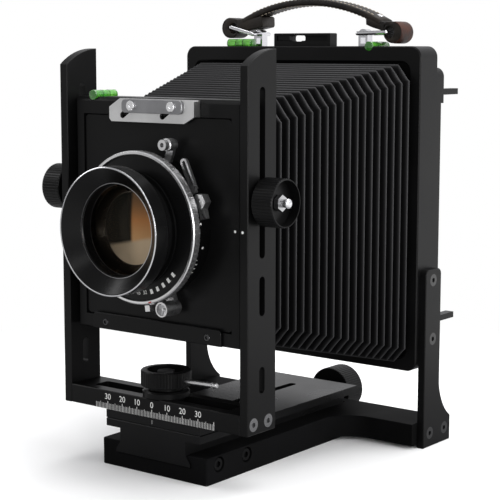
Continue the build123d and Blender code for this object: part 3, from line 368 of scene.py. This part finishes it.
NODE_MATERIALS = {
    "base_block": BLACK_BASE, "focus_rail": BLACK_BED, "carriage_plate": BLACK_BED,
    "focus_knob": BLACK_KNOB, "clamp_knob": BLACK_KNOB,
    "rise_knob_left": BLACK_KNOB, "rise_knob_right": BLACK_KNOB,
    "clamp_stud": DARK_STEEL, "clamp_lever": BRIGHT, "lead_screw": STEEL,
    "trunnion_left": STEEL, "trunnion_right": STEEL,
    "upright_screws": BLACK_SCREW, "standard_screws": GREY_STEEL, "gib_screws": BLACK_KNOB,
    "carrier_screws": SCREW_MIX, "panel_springs": STEEL,
    "lead_nut": BRASS, "tripod_bush": BRASS,
    "handle_posts": CHROME, "handle_ring_left": CHROME, "handle_ring_right": CHROME,
    "cable_socket": BRIGHT, "sync_socket": BRIGHT, "release_lever": BRIGHT,
    "cocking_lever": BRIGHT, "aperture_lever": BRIGHT, "speed_ring": BRIGHT,
    "board_lock": SILVER_PLATE, "lock_cover": GREY_COVER,
    "frame_levels": VIAL, "front_level": VIAL,
    "shutter_case": BLACK_SHUTTER, "retaining_ring": BLACK_SHUTTER, "iris_blades": BLACK_MATT,
    "front_barrel": BLACK_SHUTTER, "rear_barrel": BLACK_SHUTTER,
    "lens_glass": GLASS, "ground_glass": SCREEN,
    "bellows_front_ring": BLACK_MATT, "bellows_rear_ring": BLACK_MATT,
}


def finish_node(name, obj):
    material = NODE_MATERIALS.get(name, BLACK)
    obj.data.materials.clear()
    obj.data.materials.append(material)


for node_name, node_object in nodes.items():
    finish_node(node_name, node_object)


# ---- Mesh helpers ----
def add_object(name, data, body, material=None):
    obj = bpy.data.objects.new(name, data)
    scene.collection.objects.link(obj)
    if material:
        data.materials.append(material)
    if body:
        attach(obj, body)
    return obj


def mesh_from(name, points, faces, smooth=True):
    mesh = bpy.data.meshes.new(name)
    mesh.from_pydata([tuple(p) for p in points], [], faces)
    mesh.validate()
    mesh.polygons.foreach_set("use_smooth", [smooth] * len(mesh.polygons))
    mesh.update()
    return mesh


class Builder:
    """Gathers small solids into one mesh."""

    def __init__(self):
        self.points = []
        self.faces = []

    def box(self, centre, x, y, z):
        """A box with three half-extent vectors."""
        start = len(self.points)
        centre, x, y, z = Vector(centre), Vector(x), Vector(y), Vector(z)
        for k in (-1, 1):
            for i, j in ((-1, -1), (1, -1), (1, 1), (-1, 1)):
                self.points.append(centre + x * i + y * j + z * k)
        for face in ((3, 2, 1, 0), (4, 5, 6, 7), (0, 1, 5, 4), (1, 2, 6, 5), (2, 3, 7, 6), (3, 0, 4, 7)):
            self.faces.append([start + i for i in face])

    def rings(self, rings, closed=True, caps=True):
        """Skins a list of rings that have equally many points."""
        start, count = len(self.points), len(rings[0])
        for ring in rings:
            self.points.extend(Vector(p) for p in ring)
        for r in range(len(rings) - 1):
            for i in range(count if closed else count - 1):
                a = start + r * count + i
                b = start + r * count + (i + 1) % count
                self.faces.append([a, b, b + count, a + count])
        if caps:
            self.faces.append([start + i for i in reversed(range(count))])
            last = start + (len(rings) - 1) * count
            self.faces.append([last + i for i in range(count)])

    def round_bar(self, centre, direction, length, radius, sides=12, taper=0.7):
        """A short bar with softened ends."""
        direction = Vector(direction).normalized()
        side = direction.orthogonal().normalized()
        up = direction.cross(side)
        rings = []
        for along, scale in ((-0.5, taper), (-0.38, 1.0), (0.38, 1.0), (0.5, taper)):
            middle_point = Vector(centre) + direction * (along * length)
            rings.append([middle_point + (side * math.cos(t) + up * math.sin(t)) * radius * scale
                          for t in (2 * math.pi * i / sides for i in range(sides))])
        self.rings(rings)

    def build(self, name, body, material, slot, smooth=True):
        mesh = mesh_from(name, self.points, self.faces, smooth)
        shell = bmesh.new()
        shell.from_mesh(mesh)
        bmesh.ops.recalc_face_normals(shell, faces=shell.faces)
        shell.to_mesh(mesh)
        shell.free()
        return add_object(name, mesh, body, material)


# ---- Bellows ----
PLEATS = 21
SAMPLES = 10                       # rings in each pleat
PLEAT_DEPTH = 6.2 * MM
CREST_ROUNDING = 0.2               # 0 gives a sharp zigzag, 1 a smooth wave
CORNER_STEPS = 8
CORNER_PINCH = 0.45                # how much deeper a fold goes at the corners
REAR_GAP = 2.0 * MM                # between the first pleat and the frame's mounting plane
FRONT_HALF, FRONT_LOW, FRONT_HIGH = 47.0 * MM, 69.0 * MM, 184.5 * MM
REAR_HALF = BELLOWS_HIGH.x + 2.6 * MM
CORNER_FRONT, CORNER_REAR = 11.0 * MM, 8.5 * MM
REAR_Y = BELLOWS_HIGH.y - REAR_GAP
PITCH = (REAR_Y - BELLOWS_LOW.y) / PLEATS
# each stretch of cloth: (name, pleats, rear body, front body), from the rear
STRETCHES = [("focus", 5, "base", "rail"), ("swing", 4, "rail", "pivot_block"),
             ("shift", 4, "pivot_block", "standard"), ("rise", 4, "standard", "trunnions"),
             ("tilt", 4, "trunnions", "carrier")]


def bellows_ring(pleat):
    """One line of the cloth and its crest values, at a position counted in pleats from the rear."""
    y_side = REAR_Y - pleat * PITCH
    share = min(1.0, max(0.0, pleat / PLEATS))
    half = REAR_HALF + (FRONT_HALF - REAR_HALF) * share
    bottom = BELLOWS_LOW.z + (FRONT_LOW - BELLOWS_LOW.z) * share
    top = BELLOWS_HIGH.z + (FRONT_HIGH - BELLOWS_HIGH.z) * share
    corner = CORNER_REAR + (CORNER_FRONT - CORNER_REAR) * share
    wave = 0.5 + 0.5 * math.cos(2 * math.pi * (pleat - 0.5))
    fold = 1.0 - abs(2.0 * (pleat % 1.0) - 1.0)
    sharp = CREST_ROUNDING * wave + (1 - CREST_ROUNDING) * fold
    inset = PLEAT_DEPTH * (1 - sharp)
    points = []
    for sx, sz in ((1, 1), (-1, 1), (-1, -1), (1, -1)):
        steps = range(CORNER_STEPS + 1) if sx * sz > 0 else range(CORNER_STEPS, -1, -1)
        for i in steps:
            u = i / CORNER_STEPS                       # 0 on the side wall, 1 on the top or bottom wall
            ease = u * u * (3 - 2 * u)
            bow = math.sin(math.pi * u)
            x = half - inset * (1 - u) - corner * u - inset * CORNER_PINCH * bow
            z_edge = top if sz > 0 else bottom
            z = z_edge - sz * (corner * (1 - u) + inset * u + inset * CORNER_PINCH * bow)
            y = y_side + ease * PITCH / 2
            points.append((sx * x, y, z))
    return points, sharp


def make_bellows():
    start = 0
    for name, pleats, rear_body, front_body in STRETCHES:
        builder, crests = Builder(), []
        rings = []
        for k in range(pleats * SAMPLES + 1):
            ring, crest = bellows_ring(start + k / SAMPLES)
            rings.append(ring)
            crests.extend([crest] * len(ring))
        builder.rings(rings, caps=False)
        mesh = mesh_from("bellows_" + name, builder.points, builder.faces)
        attribute = mesh.attributes.new("crest", "FLOAT", "POINT")
        attribute.data.foreach_set("value", crests)
        obj = bpy.data.objects.new("bellows_" + name, mesh)
        scene.collection.objects.link(obj)
        mesh.materials.append(CLOTH)
        skin = obj.modifiers.new("cloth_thickness", "SOLIDIFY")
        skin.thickness = 0.35 * MM
        skin.offset = -1.0
        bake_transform(obj)
        if name == "focus":
            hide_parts("bellows")
        start += pleats


make_bellows()


# ---- Engraved scale of the shift movement ----
def font_piece(name, text, size, centre, body, material, turn=0.0):
    """Raised figures that stand on a front face. turn rotates them in that face."""
    curve = bpy.data.curves.new(name, "FONT")
    curve.body = text
    curve.size = size
    curve.align_x = "CENTER"
    curve.align_y = "CENTER"
    curve.extrude = 0.03 * MM
    obj = bpy.data.objects.new(name + "_source", curve)
    scene.collection.objects.link(obj)
    obj.location = centre
    obj.rotation_euler = (math.pi / 2, turn, 0)
    bpy.context.view_layer.update()
    mesh = bpy.data.meshes.new_from_object(obj)
    mesh.transform(obj.matrix_world)
    mesh.name = name
    bpy.data.objects.remove(obj)
    mesh.materials.clear()
    return add_object(name, mesh, body, material)


SCALE_REACH = 38
PAINT_DEPTH = 0.04 * MM


def make_shift_scale():
    ticks = Builder()
    bottom = low("crossbar").z
    for value in range(-SCALE_REACH, SCALE_REACH + 3):
        tall = 4.2 if value % 10 == 0 else (3.6 if value % 5 == 0 else 3.0)
        width = 0.16 if value % 10 == 0 else 0.11
        centre = (value * MM, BAR_FRONT, bottom + tall / 2 * MM)
        ticks.box(centre, (width * MM, 0, 0), (0, PAINT_DEPTH, 0), (0, 0, tall / 2 * MM))
    ticks.build("shift_scale_lines", "standard", WHITE_PAINT, "black_anodised", False)
    for value in range(-30, 31, 10):
        name = f"shift_figure_{'left' if value < 0 else 'right'}_{abs(value)}"
        centre = (value * MM, BAR_FRONT, bottom + 6.4 * MM)
        font_piece(name, str(abs(value)), 4.3 * MM, centre, "standard", WHITE_PAINT)
    index = Builder()
    plate_top = high("carriage_plate").z
    index.box((0, low("carriage_plate").y, plate_top - 2.0 * MM), (0.15 * MM, 0, 0), (0, PAINT_DEPTH, 0),
              (0, 0, 1.0 * MM))
    index.build("shift_index", "rail", GREY_PAINT, "black_anodised", False)


make_shift_scale()


def make_dots():
    """The two index dots of the rise movement, on the carrier and beside it on the plate."""
    for name, node, body, x, z in (("rise_dot_carrier", "lens_carrier", "carrier", 50.0, 127.1),
                                   ("rise_dot_plate", "side_plate_right", "standard", 57.6, 127.6)):
        dot = Builder()
        dot.round_bar((x * MM, low(node).y, z * MM), (0, 1, 0), 2 * PAINT_DEPTH, 0.68 * MM, 16, 0.95)
        dot.build(name, body, WHITE_PAINT, "black_anodised")


make_dots()


# ---- Shutter and lens details ----
def ring_point(radius, degrees, y):
    angle = math.radians(degrees)
    return Vector((radius * MM * math.cos(angle), y, LENS_Z + radius * MM * math.sin(angle)))


def ring_of(radius, y, sides=96):
    return [ring_point(radius, -360.0 * i / sides, y) for i in range(sides)]


def turned_piece(name, profile, body, material, slot):
    """A closed ring about the lens axis, from (radius in mm, y in m) points."""
    builder = Builder()
    rings = [ring_of(radius, y) for radius, y in profile]
    rings.append(rings[0])
    builder.rings(rings, caps=False)
    builder.build(name, body, material, slot)


BARREL_FRONT = low("front_barrel").y


def make_lens_details():
    """Bright rims: the barrel's front edge, the inner edge of its bevel, and the seats of two glasses."""
    y = BARREL_FRONT
    rims = (("barrel_rim", 30.75, -0.02, 0.34, CHROME), ("bevel_rim", 22.95, 6.15, 0.16, STEEL),
            ("front_glass_rim", 22.15, 11.9, 0.16, DARK_STEEL), ("inner_glass_rim", 18.0, 18.2, 0.22, CHROME))
    for name, radius, back, wide, metal in rims:
        at, end = y + back * MM, y + (back + 0.35) * MM
        profile = [(radius - wide, at), (radius + wide, at), (radius + wide, end), (radius - wide, end)]
        turned_piece(name, profile, "carrier", metal, "chrome")


make_lens_details()

FACE_Y = low("shutter_case").y
CASE_R = 34.62                                # just outside the case, in mm
SPEED_START, SPEED_STEP = -101.0, 7.6         # degrees round the shutter's face


def case_dot(builder, degrees, y, size):
    """A painted dot on the outside of the shutter's case."""
    centre = ring_point(CASE_R, degrees, y * MM)
    outward = ring_point(1.0, degrees, 0) - ring_point(0.0, degrees, 0)
    builder.round_bar(centre, outward, 0.12 * MM, size * MM, 16, 0.95)


def make_shutter_marks():
    """Speed figures on the shutter's face, index marks on the right of its case, and the red pointer."""
    blocks = Builder()
    for i in range(4, 9):
        degrees = SPEED_START + i * SPEED_STEP
        centre = ring_point(31.9, degrees, FACE_Y + 0.86 * MM)
        out = (ring_point(33.0, degrees, 0) - ring_point(32.0, degrees, 0)) * 1.15
        across = Vector((-out.z, 0, out.x)).normalized() * 0.75 * MM
        blocks.box(centre, out, (0, 0.2 * MM, 0), across)
    blocks.build("speed_blocks", "carrier", WHITE_PAINT, "shutter_black", False)
    for i, text in enumerate(("90", "64", "45", "32")):
        degrees = SPEED_START + i * SPEED_STEP
        place = ring_point(31.7, degrees, FACE_Y + 0.60 * MM)
        font_piece(f"speed_figure_{text}", text, 2.6 * MM, place, "carrier", WHITE_PAINT,
                   turn=-math.radians(degrees + 90))
    white, red = Builder(), Builder()
    case_dot(white, 6.2, -102.7, 0.62)
    case_dot(white, -0.8, -103.7, 0.42)
    case_dot(white, -13.5, -100.4, 0.70)
    case_dot(red, -11.8, -105.0, 0.42)
    for i, degrees in enumerate((-24.0, -28.0, -32.0, -36.0, -52.0, -56.0)):
        centre = ring_point(CASE_R, degrees, (-103.2 + 0.9 * (i % 2)) * MM)
        outward = (ring_point(1.0, degrees, 0) - ring_point(0.0, degrees, 0)) * 0.06
        along = Vector((-outward.z, 0, outward.x)).normalized() * 0.16 * MM
        white.box(centre, outward, (0, (1.3 + 0.4 * (i % 3)) * MM, 0), along)
    white.build("case_marks_white", "carrier", WHITE_PAINT, "shutter_black", False)
    red.build("case_mark_red", "carrier", RED_PAINT, "shutter_black", False)
    pointer = Builder()
    pointer.box((9.4 * MM, RING_FRONT, LENS_Z - 35.6 * MM), (0.9 * MM, 0, 0.25 * MM), (0, PAINT_DEPTH, 0),
                (0, 0, 0.3 * MM))
    pointer.build("aperture_pointer", "speed", RED_PAINT, "bright_aluminium", False)


make_shutter_marks()


# ---- Spirit levels ----
VIAL_R = 2.5 * MM
FRAME_VIAL = 17.0                  # lengths in mm
FRONT_VIAL = 15.8


def make_level(name, centre, axis, body, length):
    """Glass ends, two lines round the tube, and a bubble in the liquid."""
    axis = Vector(axis)
    ends = Builder()
    for along in (-0.5, 0.5):
        place = centre + axis * along * (length - 0.6) * MM
        ends.round_bar(place, axis, 1.0 * MM, VIAL_R + 0.02 * MM, 32, 0.9)
    ends.build(name + "_ends", body, VIAL_END, "level_vial")
    lines = Builder()
    for along in (-2.4, 2.4):
        lines.round_bar(centre + axis * along * MM, axis, 0.35 * MM, VIAL_R + 0.02 * MM, 32, 1.0)
    lines.build(name + "_lines", body, BLACK_SHUTTER, "level_vial")
    up = Vector((0, 0, 1))
    side = up.cross(axis).normalized()
    rings = []
    for i in range(9):
        t = math.pi * i / 8
        place = centre - axis * math.cos(t) * 1.9 * MM + up * 1.62 * MM
        r = max(0.05, math.sin(t)) * 1.25 * MM
        rings.append([place + side * math.cos(a) * r * 1.1 + up * math.sin(a) * r * 0.8
                      for a in (2 * math.pi * k / 16 for k in range(16))])
    bubble = Builder()
    bubble.rings(rings)
    bubble.build(name + "_bubble", body, BUBBLE, "level_vial")


levels_low, levels_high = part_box("frame_levels")
half_vial = FRAME_VIAL / 2 * MM
make_level("level_along", Vector((levels_high.x - VIAL_R, FRAME_FRONT + half_vial, FRAME_TOP)), (0, 1, 0),
           "base", FRAME_VIAL)
make_level("level_across", Vector((levels_low.x + half_vial, 26.2 * MM, FRAME_TOP + 1.6 * MM)), (1, 0, 0),
           "base", FRAME_VIAL)
make_level("level_front", middle("front_level"), (0, 1, 0), "carrier", FRONT_VIAL)


# ---- Handle ----
HANDLE_Y = middle("handle_strap").y
LOOPS = {-1: (-52.7, 224.9), 1: (57.0, 221.7)}           # (x, z) of the strap's end loops, in mm
HOLES = {-1: (-50.4, 224.7), 1: (54.6, 221.7)}           # (x, z) of the holes that the rings pass through
HOLE_R = 3.0
LOOP_R = 5.7
ARCH_THICK = 3.5
ARCH_HALF_WIDTH = 5.95


def arc_through(left, top, right):
    """Centre and radius of the circle through three (x, z) points."""
    (ax, az), (bx, bz), (cx, cz) = left, top, right
    d = 2 * (ax * (bz - cz) + bx * (cz - az) + cx * (az - bz))
    sa, sb, sc = ax * ax + az * az, bx * bx + bz * bz, cx * cx + cz * cz
    x = (sa * (bz - cz) + sb * (cz - az) + sc * (az - bz)) / d
    z = (sa * (cx - bx) + sb * (ax - cx) + sc * (bx - ax)) / d
    return x, z, math.hypot(ax - x, az - z)


ARC_X, ARC_Z, ARC_R = arc_through((-44.0, 230.4), (4.5, 240.3), (50.0, 228.4))


def smooth_line(points, steps=4):
    """A Catmull-Rom line through points."""
    result = []
    padded = [points[0]] + list(points) + [points[-1]]
    for i in range(1, len(padded) - 2):
        p0, p1, p2, p3 = padded[i - 1:i + 3]
        for k in range(steps):
            t = k / steps
            result.append(tuple(0.5 * (2 * b + (c - a) * t + (2 * a - 5 * b + 4 * c - d) * t * t
                                       + (3 * b - a - 3 * c + d) * t ** 3)
                                for a, b, c, d in zip(p0, p1, p2, p3)))
    result.append(points[-1])
    return result


CROWN = 0.18                                              # how far the leather's upper face bulges
BAND_SECTION = [(-1.0, -0.45), (-0.93, -0.85), (-0.80, -1.0), (0.80, -1.0), (0.93, -0.85), (1.0, -0.45),
                (1.0, 0.45), (0.93, 0.85), (0.80, 1.0), (0.3, 1.0 + CROWN), (-0.3, 1.0 + CROWN), (-0.80, 1.0),
                (-0.93, 0.85), (-1.0, 0.45)]


def leather_band(name, line, thickness, half_width, material):
    """A strip of leather along a line of (x, z) points in mm, with rounded long edges."""
    rings = []
    count = len(line)
    for i, (x, z) in enumerate(line):
        before, after = line[max(0, i - 1)], line[min(count - 1, i + 1)]
        tx, tz = after[0] - before[0], after[1] - before[1]
        size = math.hypot(tx, tz) or 1.0
        nx, nz = -tz / size, tx / size
        ring = []
        t = thickness / 2
        for across, deep in BAND_SECTION:
            y = HANDLE_Y + across * half_width * MM
            ring.append(((x + nx * deep * t) * MM, y, (z + nz * deep * t) * MM))
        rings.append(ring)
    builder = Builder()
    builder.rings(rings)
    return builder.build(name, "handle", material, "leather")


PAD_SECTION = [(-1.0, 0.12), (-0.96, 0.03), (-0.88, 0.0), (0.88, 0.0), (0.96, 0.03), (1.0, 0.12),
               (1.0, 0.88), (0.96, 0.97), (0.88, 1.0), (-0.88, 1.0), (-0.96, 0.97), (-1.0, 0.88)]


def leather_pad(name, pairs, half_width, material, caps=True):
    """A thick leather piece from (x, z, x, z) pairs in mm: a point on its upper face and one on its lower."""
    rings = []
    for upper_x, upper_z, lower_x, lower_z in pairs:
        rings.append([((upper_x + (lower_x - upper_x) * share) * MM, HANDLE_Y + across * half_width * MM,
                       (upper_z + (lower_z - upper_z) * share) * MM) for across, share in PAD_SECTION])
    builder = Builder()
    builder.rings(rings, caps=caps)
    builder.build(name, "handle", material, "leather")


def arch_line(reach=(-43.5, 49.0), drop=1.85, steps=36):
    """The middle of the arch's leather, a circle's arc."""
    line = []
    for i in range(steps + 1):
        x = reach[0] + (reach[1] - reach[0]) * i / steps
        r = ARC_R - drop
        line.append((x, ARC_Z + math.sqrt(r * r - (x - ARC_X) ** 2)))
    return line


def stitch_row(name, line, offset, half_width, spacing=2.6, length=1.6):
    """Thread stitches along both long edges of the leather, on one of its faces."""
    builder = Builder()
    travelled, target = 0.0, spacing
    for (x0, z0), (x1, z1) in zip(line, line[1:]):
        run = math.hypot(x1 - x0, z1 - z0)
        while run > 1e-6 and travelled + run >= target:
            share = (target - travelled) / run
            x, z = x0 + (x1 - x0) * share, z0 + (z1 - z0) * share
            tx, tz = (x1 - x0) / run, (z1 - z0) / run
            for side in (-1, 1):
                y = HANDLE_Y + side * (half_width - 1.3) * MM
                centre = ((x - tz * offset) * MM, y, (z + tx * offset) * MM)
                builder.round_bar(centre, (tx, 0, tz), length * MM, 0.24 * MM, 8, 0.5)
            target += spacing
        travelled += run
    builder.build(name, "handle", THREAD, "leather")


# (x, z) of the upper face and (x, z) of the lower face along each folded end, in mm, from the loop inwards
END_ROOTS = {-1: [(-52.7, 230.6, -52.7, 228.8), (-47.8, 229.75, -47.8, 228.2)],
             1: [(57.0, 227.4, 57.0, 225.6), (51.6, 227.6, 51.6, 225.4)]}
END_PAIRS = {-1: [(-47.7, 229.75, -47.7, 221.6), (-44.0, 229.9, -43.5, 222.6), (-38.0, 230.0, -37.0, 223.8),
                  (-32.0, 231.2, -31.0, 224.9), (-30.2, 231.2, -29.8, 225.2), (-29.6, 230.6, -29.4, 225.9)],
             1: [(51.5, 227.6, 51.4, 221.3), (49.0, 228.0, 49.2, 222.9), (43.5, 229.6, 44.0, 224.4),
                 (40.2, 229.2, 40.4, 225.8)]}


def make_handle():
    arch = arch_line()
    main = leather_band("strap_arch", arch, ARCH_THICK, ARCH_HALF_WIDTH, LEATHER)
    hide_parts("handle_strap")
    stitch_row("strap_stitches_top", arch[2:-2], 1.85, ARCH_HALF_WIDTH)
    stitch_row("strap_stitches_under", arch[2:-2], -1.80, ARCH_HALF_WIDTH)
    for side, name, leather in ((-1, "left", LEATHER), (1, "right", LEATHER_RED)):
        # the ends fold back under the arch: the layers lie close together
        leather_pad("strap_end_" + name, END_ROOTS[side] + smooth_line(END_PAIRS[side]), 5.9, LEATHER)
        # the loop round the ring, and its outer wrap of leather
        x, z = LOOPS[side]
        hole_x, hole_z = HOLES[side]
        loop = []
        for k in range(41):
            a = 2 * math.pi * k / 40
            loop.append((x + LOOP_R * math.cos(a), z + LOOP_R * math.sin(a),
                         hole_x + HOLE_R * math.cos(a), hole_z + HOLE_R * math.sin(a)))
        leather_pad("strap_loop_" + name, loop, 5.85, LEATHER, caps=False)
        start, end = (100, 262) if side < 0 else (80, -82)
        wrap = []
        for k in range(13):
            a = math.radians(start + (end - start) * k / 12)
            wrap.append((x + (LOOP_R - 0.05) * math.cos(a), z + (LOOP_R - 0.05) * math.sin(a)))
        leather_band("strap_wrap_" + name, wrap, 0.5, 5.98, leather)
        rivet = Builder()
        rx, rz = {-1: (-38.0, 231.9), 1: (45.0, 230.6)}[side]
        rivet.round_bar((rx * MM, HANDLE_Y, rz * MM), (side * 0.12, 0, 1), 1.5 * MM, 2.1 * MM, 24, 0.55)
        rivet.build("strap_rivet_" + name, "handle", CHROME, "chrome")


make_handle()


# ---- Small parts the CAD does not carry ----
def make_rail_screw():
    """The screw in the rail's slot."""
    centre = (0, -12.0 * MM, high("focus_rail").z - 2.2 * MM)
    screw = Builder()
    screw.round_bar(centre, (0, 0, 1), 3.4 * MM, 1.9 * MM, 24, 0.9)
    screw.build("rail_slot_screw", "rail", DARK_STEEL, "steel")


make_rail_screw()


def make_stud_ends():
    """The polished domed ends of the studs, in the dishes of the rise knobs."""
    for side, name in ((-1, "left"), (1, "right")):
        tip = high("trunnion_right").x * side
        rings = []
        for radius, rise in ((2.5, -0.3), (2.5, 0.1), (2.1, 0.55), (1.3, 0.85), (0.3, 0.95)):
            angles = [2 * math.pi * k / 24 for k in range(24)]
            rings.append([(tip + side * rise * MM, STUD_Y + radius * MM * math.cos(a),
                           TILT_Z + radius * MM * math.sin(a)) for a in angles])
        dome = Builder()
        dome.rings(rings)
        dome.build("stud_end_" + name, "trunnions", CHROME, "steel")


make_stud_ends()


# ---- Stage, light and camera ----
def make_stage():
    """A white table: it keeps the object's soft shadow, and fades to plain white further out."""
    mesh = mesh_from("floor", [(-6, -6, 0), (6, -6, 0), (6, 6, 0), (-6, 6, 0)], [[0, 1, 2, 3]], False)
    floor = bpy.data.objects.new("floor", mesh)
    scene.collection.objects.link(floor)
    s = Shader("floor_white", (0.9, 0.9, 0.9), 0.7)
    s.set("Specular IOR Level", 0.0)
    path = s.add("ShaderNodeLightPath")
    seen = s.ramp(path, "Is Camera Ray", [(0.0, (0.30, 0.30, 0.305)), (1.0, (0.93, 0.93, 0.93))])
    s.link(seen, "Color", s.principled, "Base Color")
    distance = s.add("ShaderNodeVectorMath", operation="LENGTH")
    s.link(s.coords, "Object", distance, 0)
    far = s.add("ShaderNodeMapRange", interpolation_type="SMOOTHSTEP")
    far.inputs["From Min"].default_value = 0.16
    far.inputs["From Max"].default_value = 0.36
    s.link(distance, "Value", far, "Value")
    # what the object mirrors: a dim table in front of it, and a bright one behind its right side
    across = s.add("ShaderNodeVectorMath", operation="DOT_PRODUCT")
    across.inputs[1].default_value = (0.61, 0.79, 0.0)
    s.link(s.coords, "Object", across, 0)
    mirrored = s.add("ShaderNodeMapRange")
    for socket, value in (("From Min", -0.9), ("From Max", 0.9), ("To Min", 0.60), ("To Max", 1.4)):
        mirrored.inputs[socket].default_value = value
    s.link(across, "Value", mirrored, "Value")
    strength = s.add("ShaderNodeMix", data_type="FLOAT")
    s.link(path, "Is Camera Ray", strength, "Factor")
    s.link(mirrored, "Result", strength, "A")
    strength.inputs["B"].default_value = 1.0
    glow = s.add("ShaderNodeEmission")
    s.link(strength, "Result", glow, "Strength")
    mix = s.add("ShaderNodeMixShader")
    s.link(far, "Result", mix, "Fac")
    s.link(s.principled, "BSDF", mix, 1)
    s.link(glow, "Emission", mix, 2)
    s.link(mix, "Shader", s.output, "Surface")
    mesh.materials.append(s.material)


make_stage()


def area_light(name, place, target, size, power):
    data = bpy.data.lights.new(name, "AREA")
    data.shape = "RECTANGLE"
    data.size, data.size_y = size
    data.energy = power
    obj = bpy.data.objects.new(name, data)
    scene.collection.objects.link(obj)
    obj.location = place
    obj.rotation_euler = (Vector(target) - Vector(place)).to_track_quat("-Z", "Y").to_euler()


TARGET = (0, -0.02, 0.11)
area_light("softbox_right", (1.5, 0.25, 0.75), TARGET, (0.8, 1.1), 16)
area_light("softbox_top", (0.05, 0.35, 1.7), TARGET, (1.5, 1.2), 24)
area_light("softbox_left", (-1.4, -0.6, 0.9), TARGET, (0.5, 0.9), 6)
area_light("strip_front", (0.5, -1.7, 1.1), TARGET, (0.3, 0.8), 3)
area_light("strip_edges", (1.35, -1.02, 0.30), TARGET, (0.30, 0.60), 7)


def make_world():
    """Plain white for the camera. What the object mirrors is a room that is dimmer in front of it."""
    world = bpy.data.worlds.new("studio")
    scene.world = world
    world.use_nodes = True
    tree = world.node_tree
    tree.nodes.clear()
    out = tree.nodes.new("ShaderNodeOutputWorld")
    white = tree.nodes.new("ShaderNodeBackground")
    room = tree.nodes.new("ShaderNodeBackground")
    mix = tree.nodes.new("ShaderNodeMixShader")
    path = tree.nodes.new("ShaderNodeLightPath")
    coords = tree.nodes.new("ShaderNodeTexCoord")
    facing = tree.nodes.new("ShaderNodeVectorMath")
    ramp = tree.nodes.new("ShaderNodeValToRGB")
    facing.operation = "DOT_PRODUCT"
    facing.inputs[1].default_value = Vector((0.45, 0.88, 0.10)).normalized()
    tree.links.new(coords.outputs["Generated"], facing.inputs[0])
    tree.links.new(facing.outputs["Value"], ramp.inputs["Fac"])
    elements = ramp.color_ramp.elements
    elements.new(0.42)
    for element, (position, level) in zip(elements, ((0.0, 0.55), (0.42, 0.90), (0.85, 1.2))):
        element.position = position
        element.color = (level, level, level * 1.02, 1)
    tree.links.new(ramp.outputs["Color"], room.inputs["Color"])
    room.inputs["Strength"].default_value = 0.9
    white.inputs["Color"].default_value = (1, 1, 1, 1)
    white.inputs["Strength"].default_value = 1.0
    tree.links.new(path.outputs["Is Camera Ray"], mix.inputs["Fac"])
    tree.links.new(room.outputs["Background"], mix.inputs[1])
    tree.links.new(white.outputs["Background"], mix.inputs[2])
    tree.links.new(mix.outputs["Shader"], out.inputs["Surface"])


make_world()
scene.view_settings.view_transform = "Standard"


def make_camera():
    data = bpy.data.cameras.new("camera")
    data.sensor_width = 36.0
    data.lens = 104.75
    camera = bpy.data.objects.new("camera", data)
    scene.collection.objects.link(camera)
    camera.location = (0.4725, -0.6340, 0.2127)
    yaw, pitch, roll = math.radians(-37.561), math.radians(-7.851), math.radians(0.072)
    camera.rotation_mode = "XYZ"
    camera.rotation_euler = (math.pi / 2 + pitch, -roll, -yaw)
    data.clip_start, data.clip_end = 0.02, 60.0
    scene.camera = camera


make_camera()
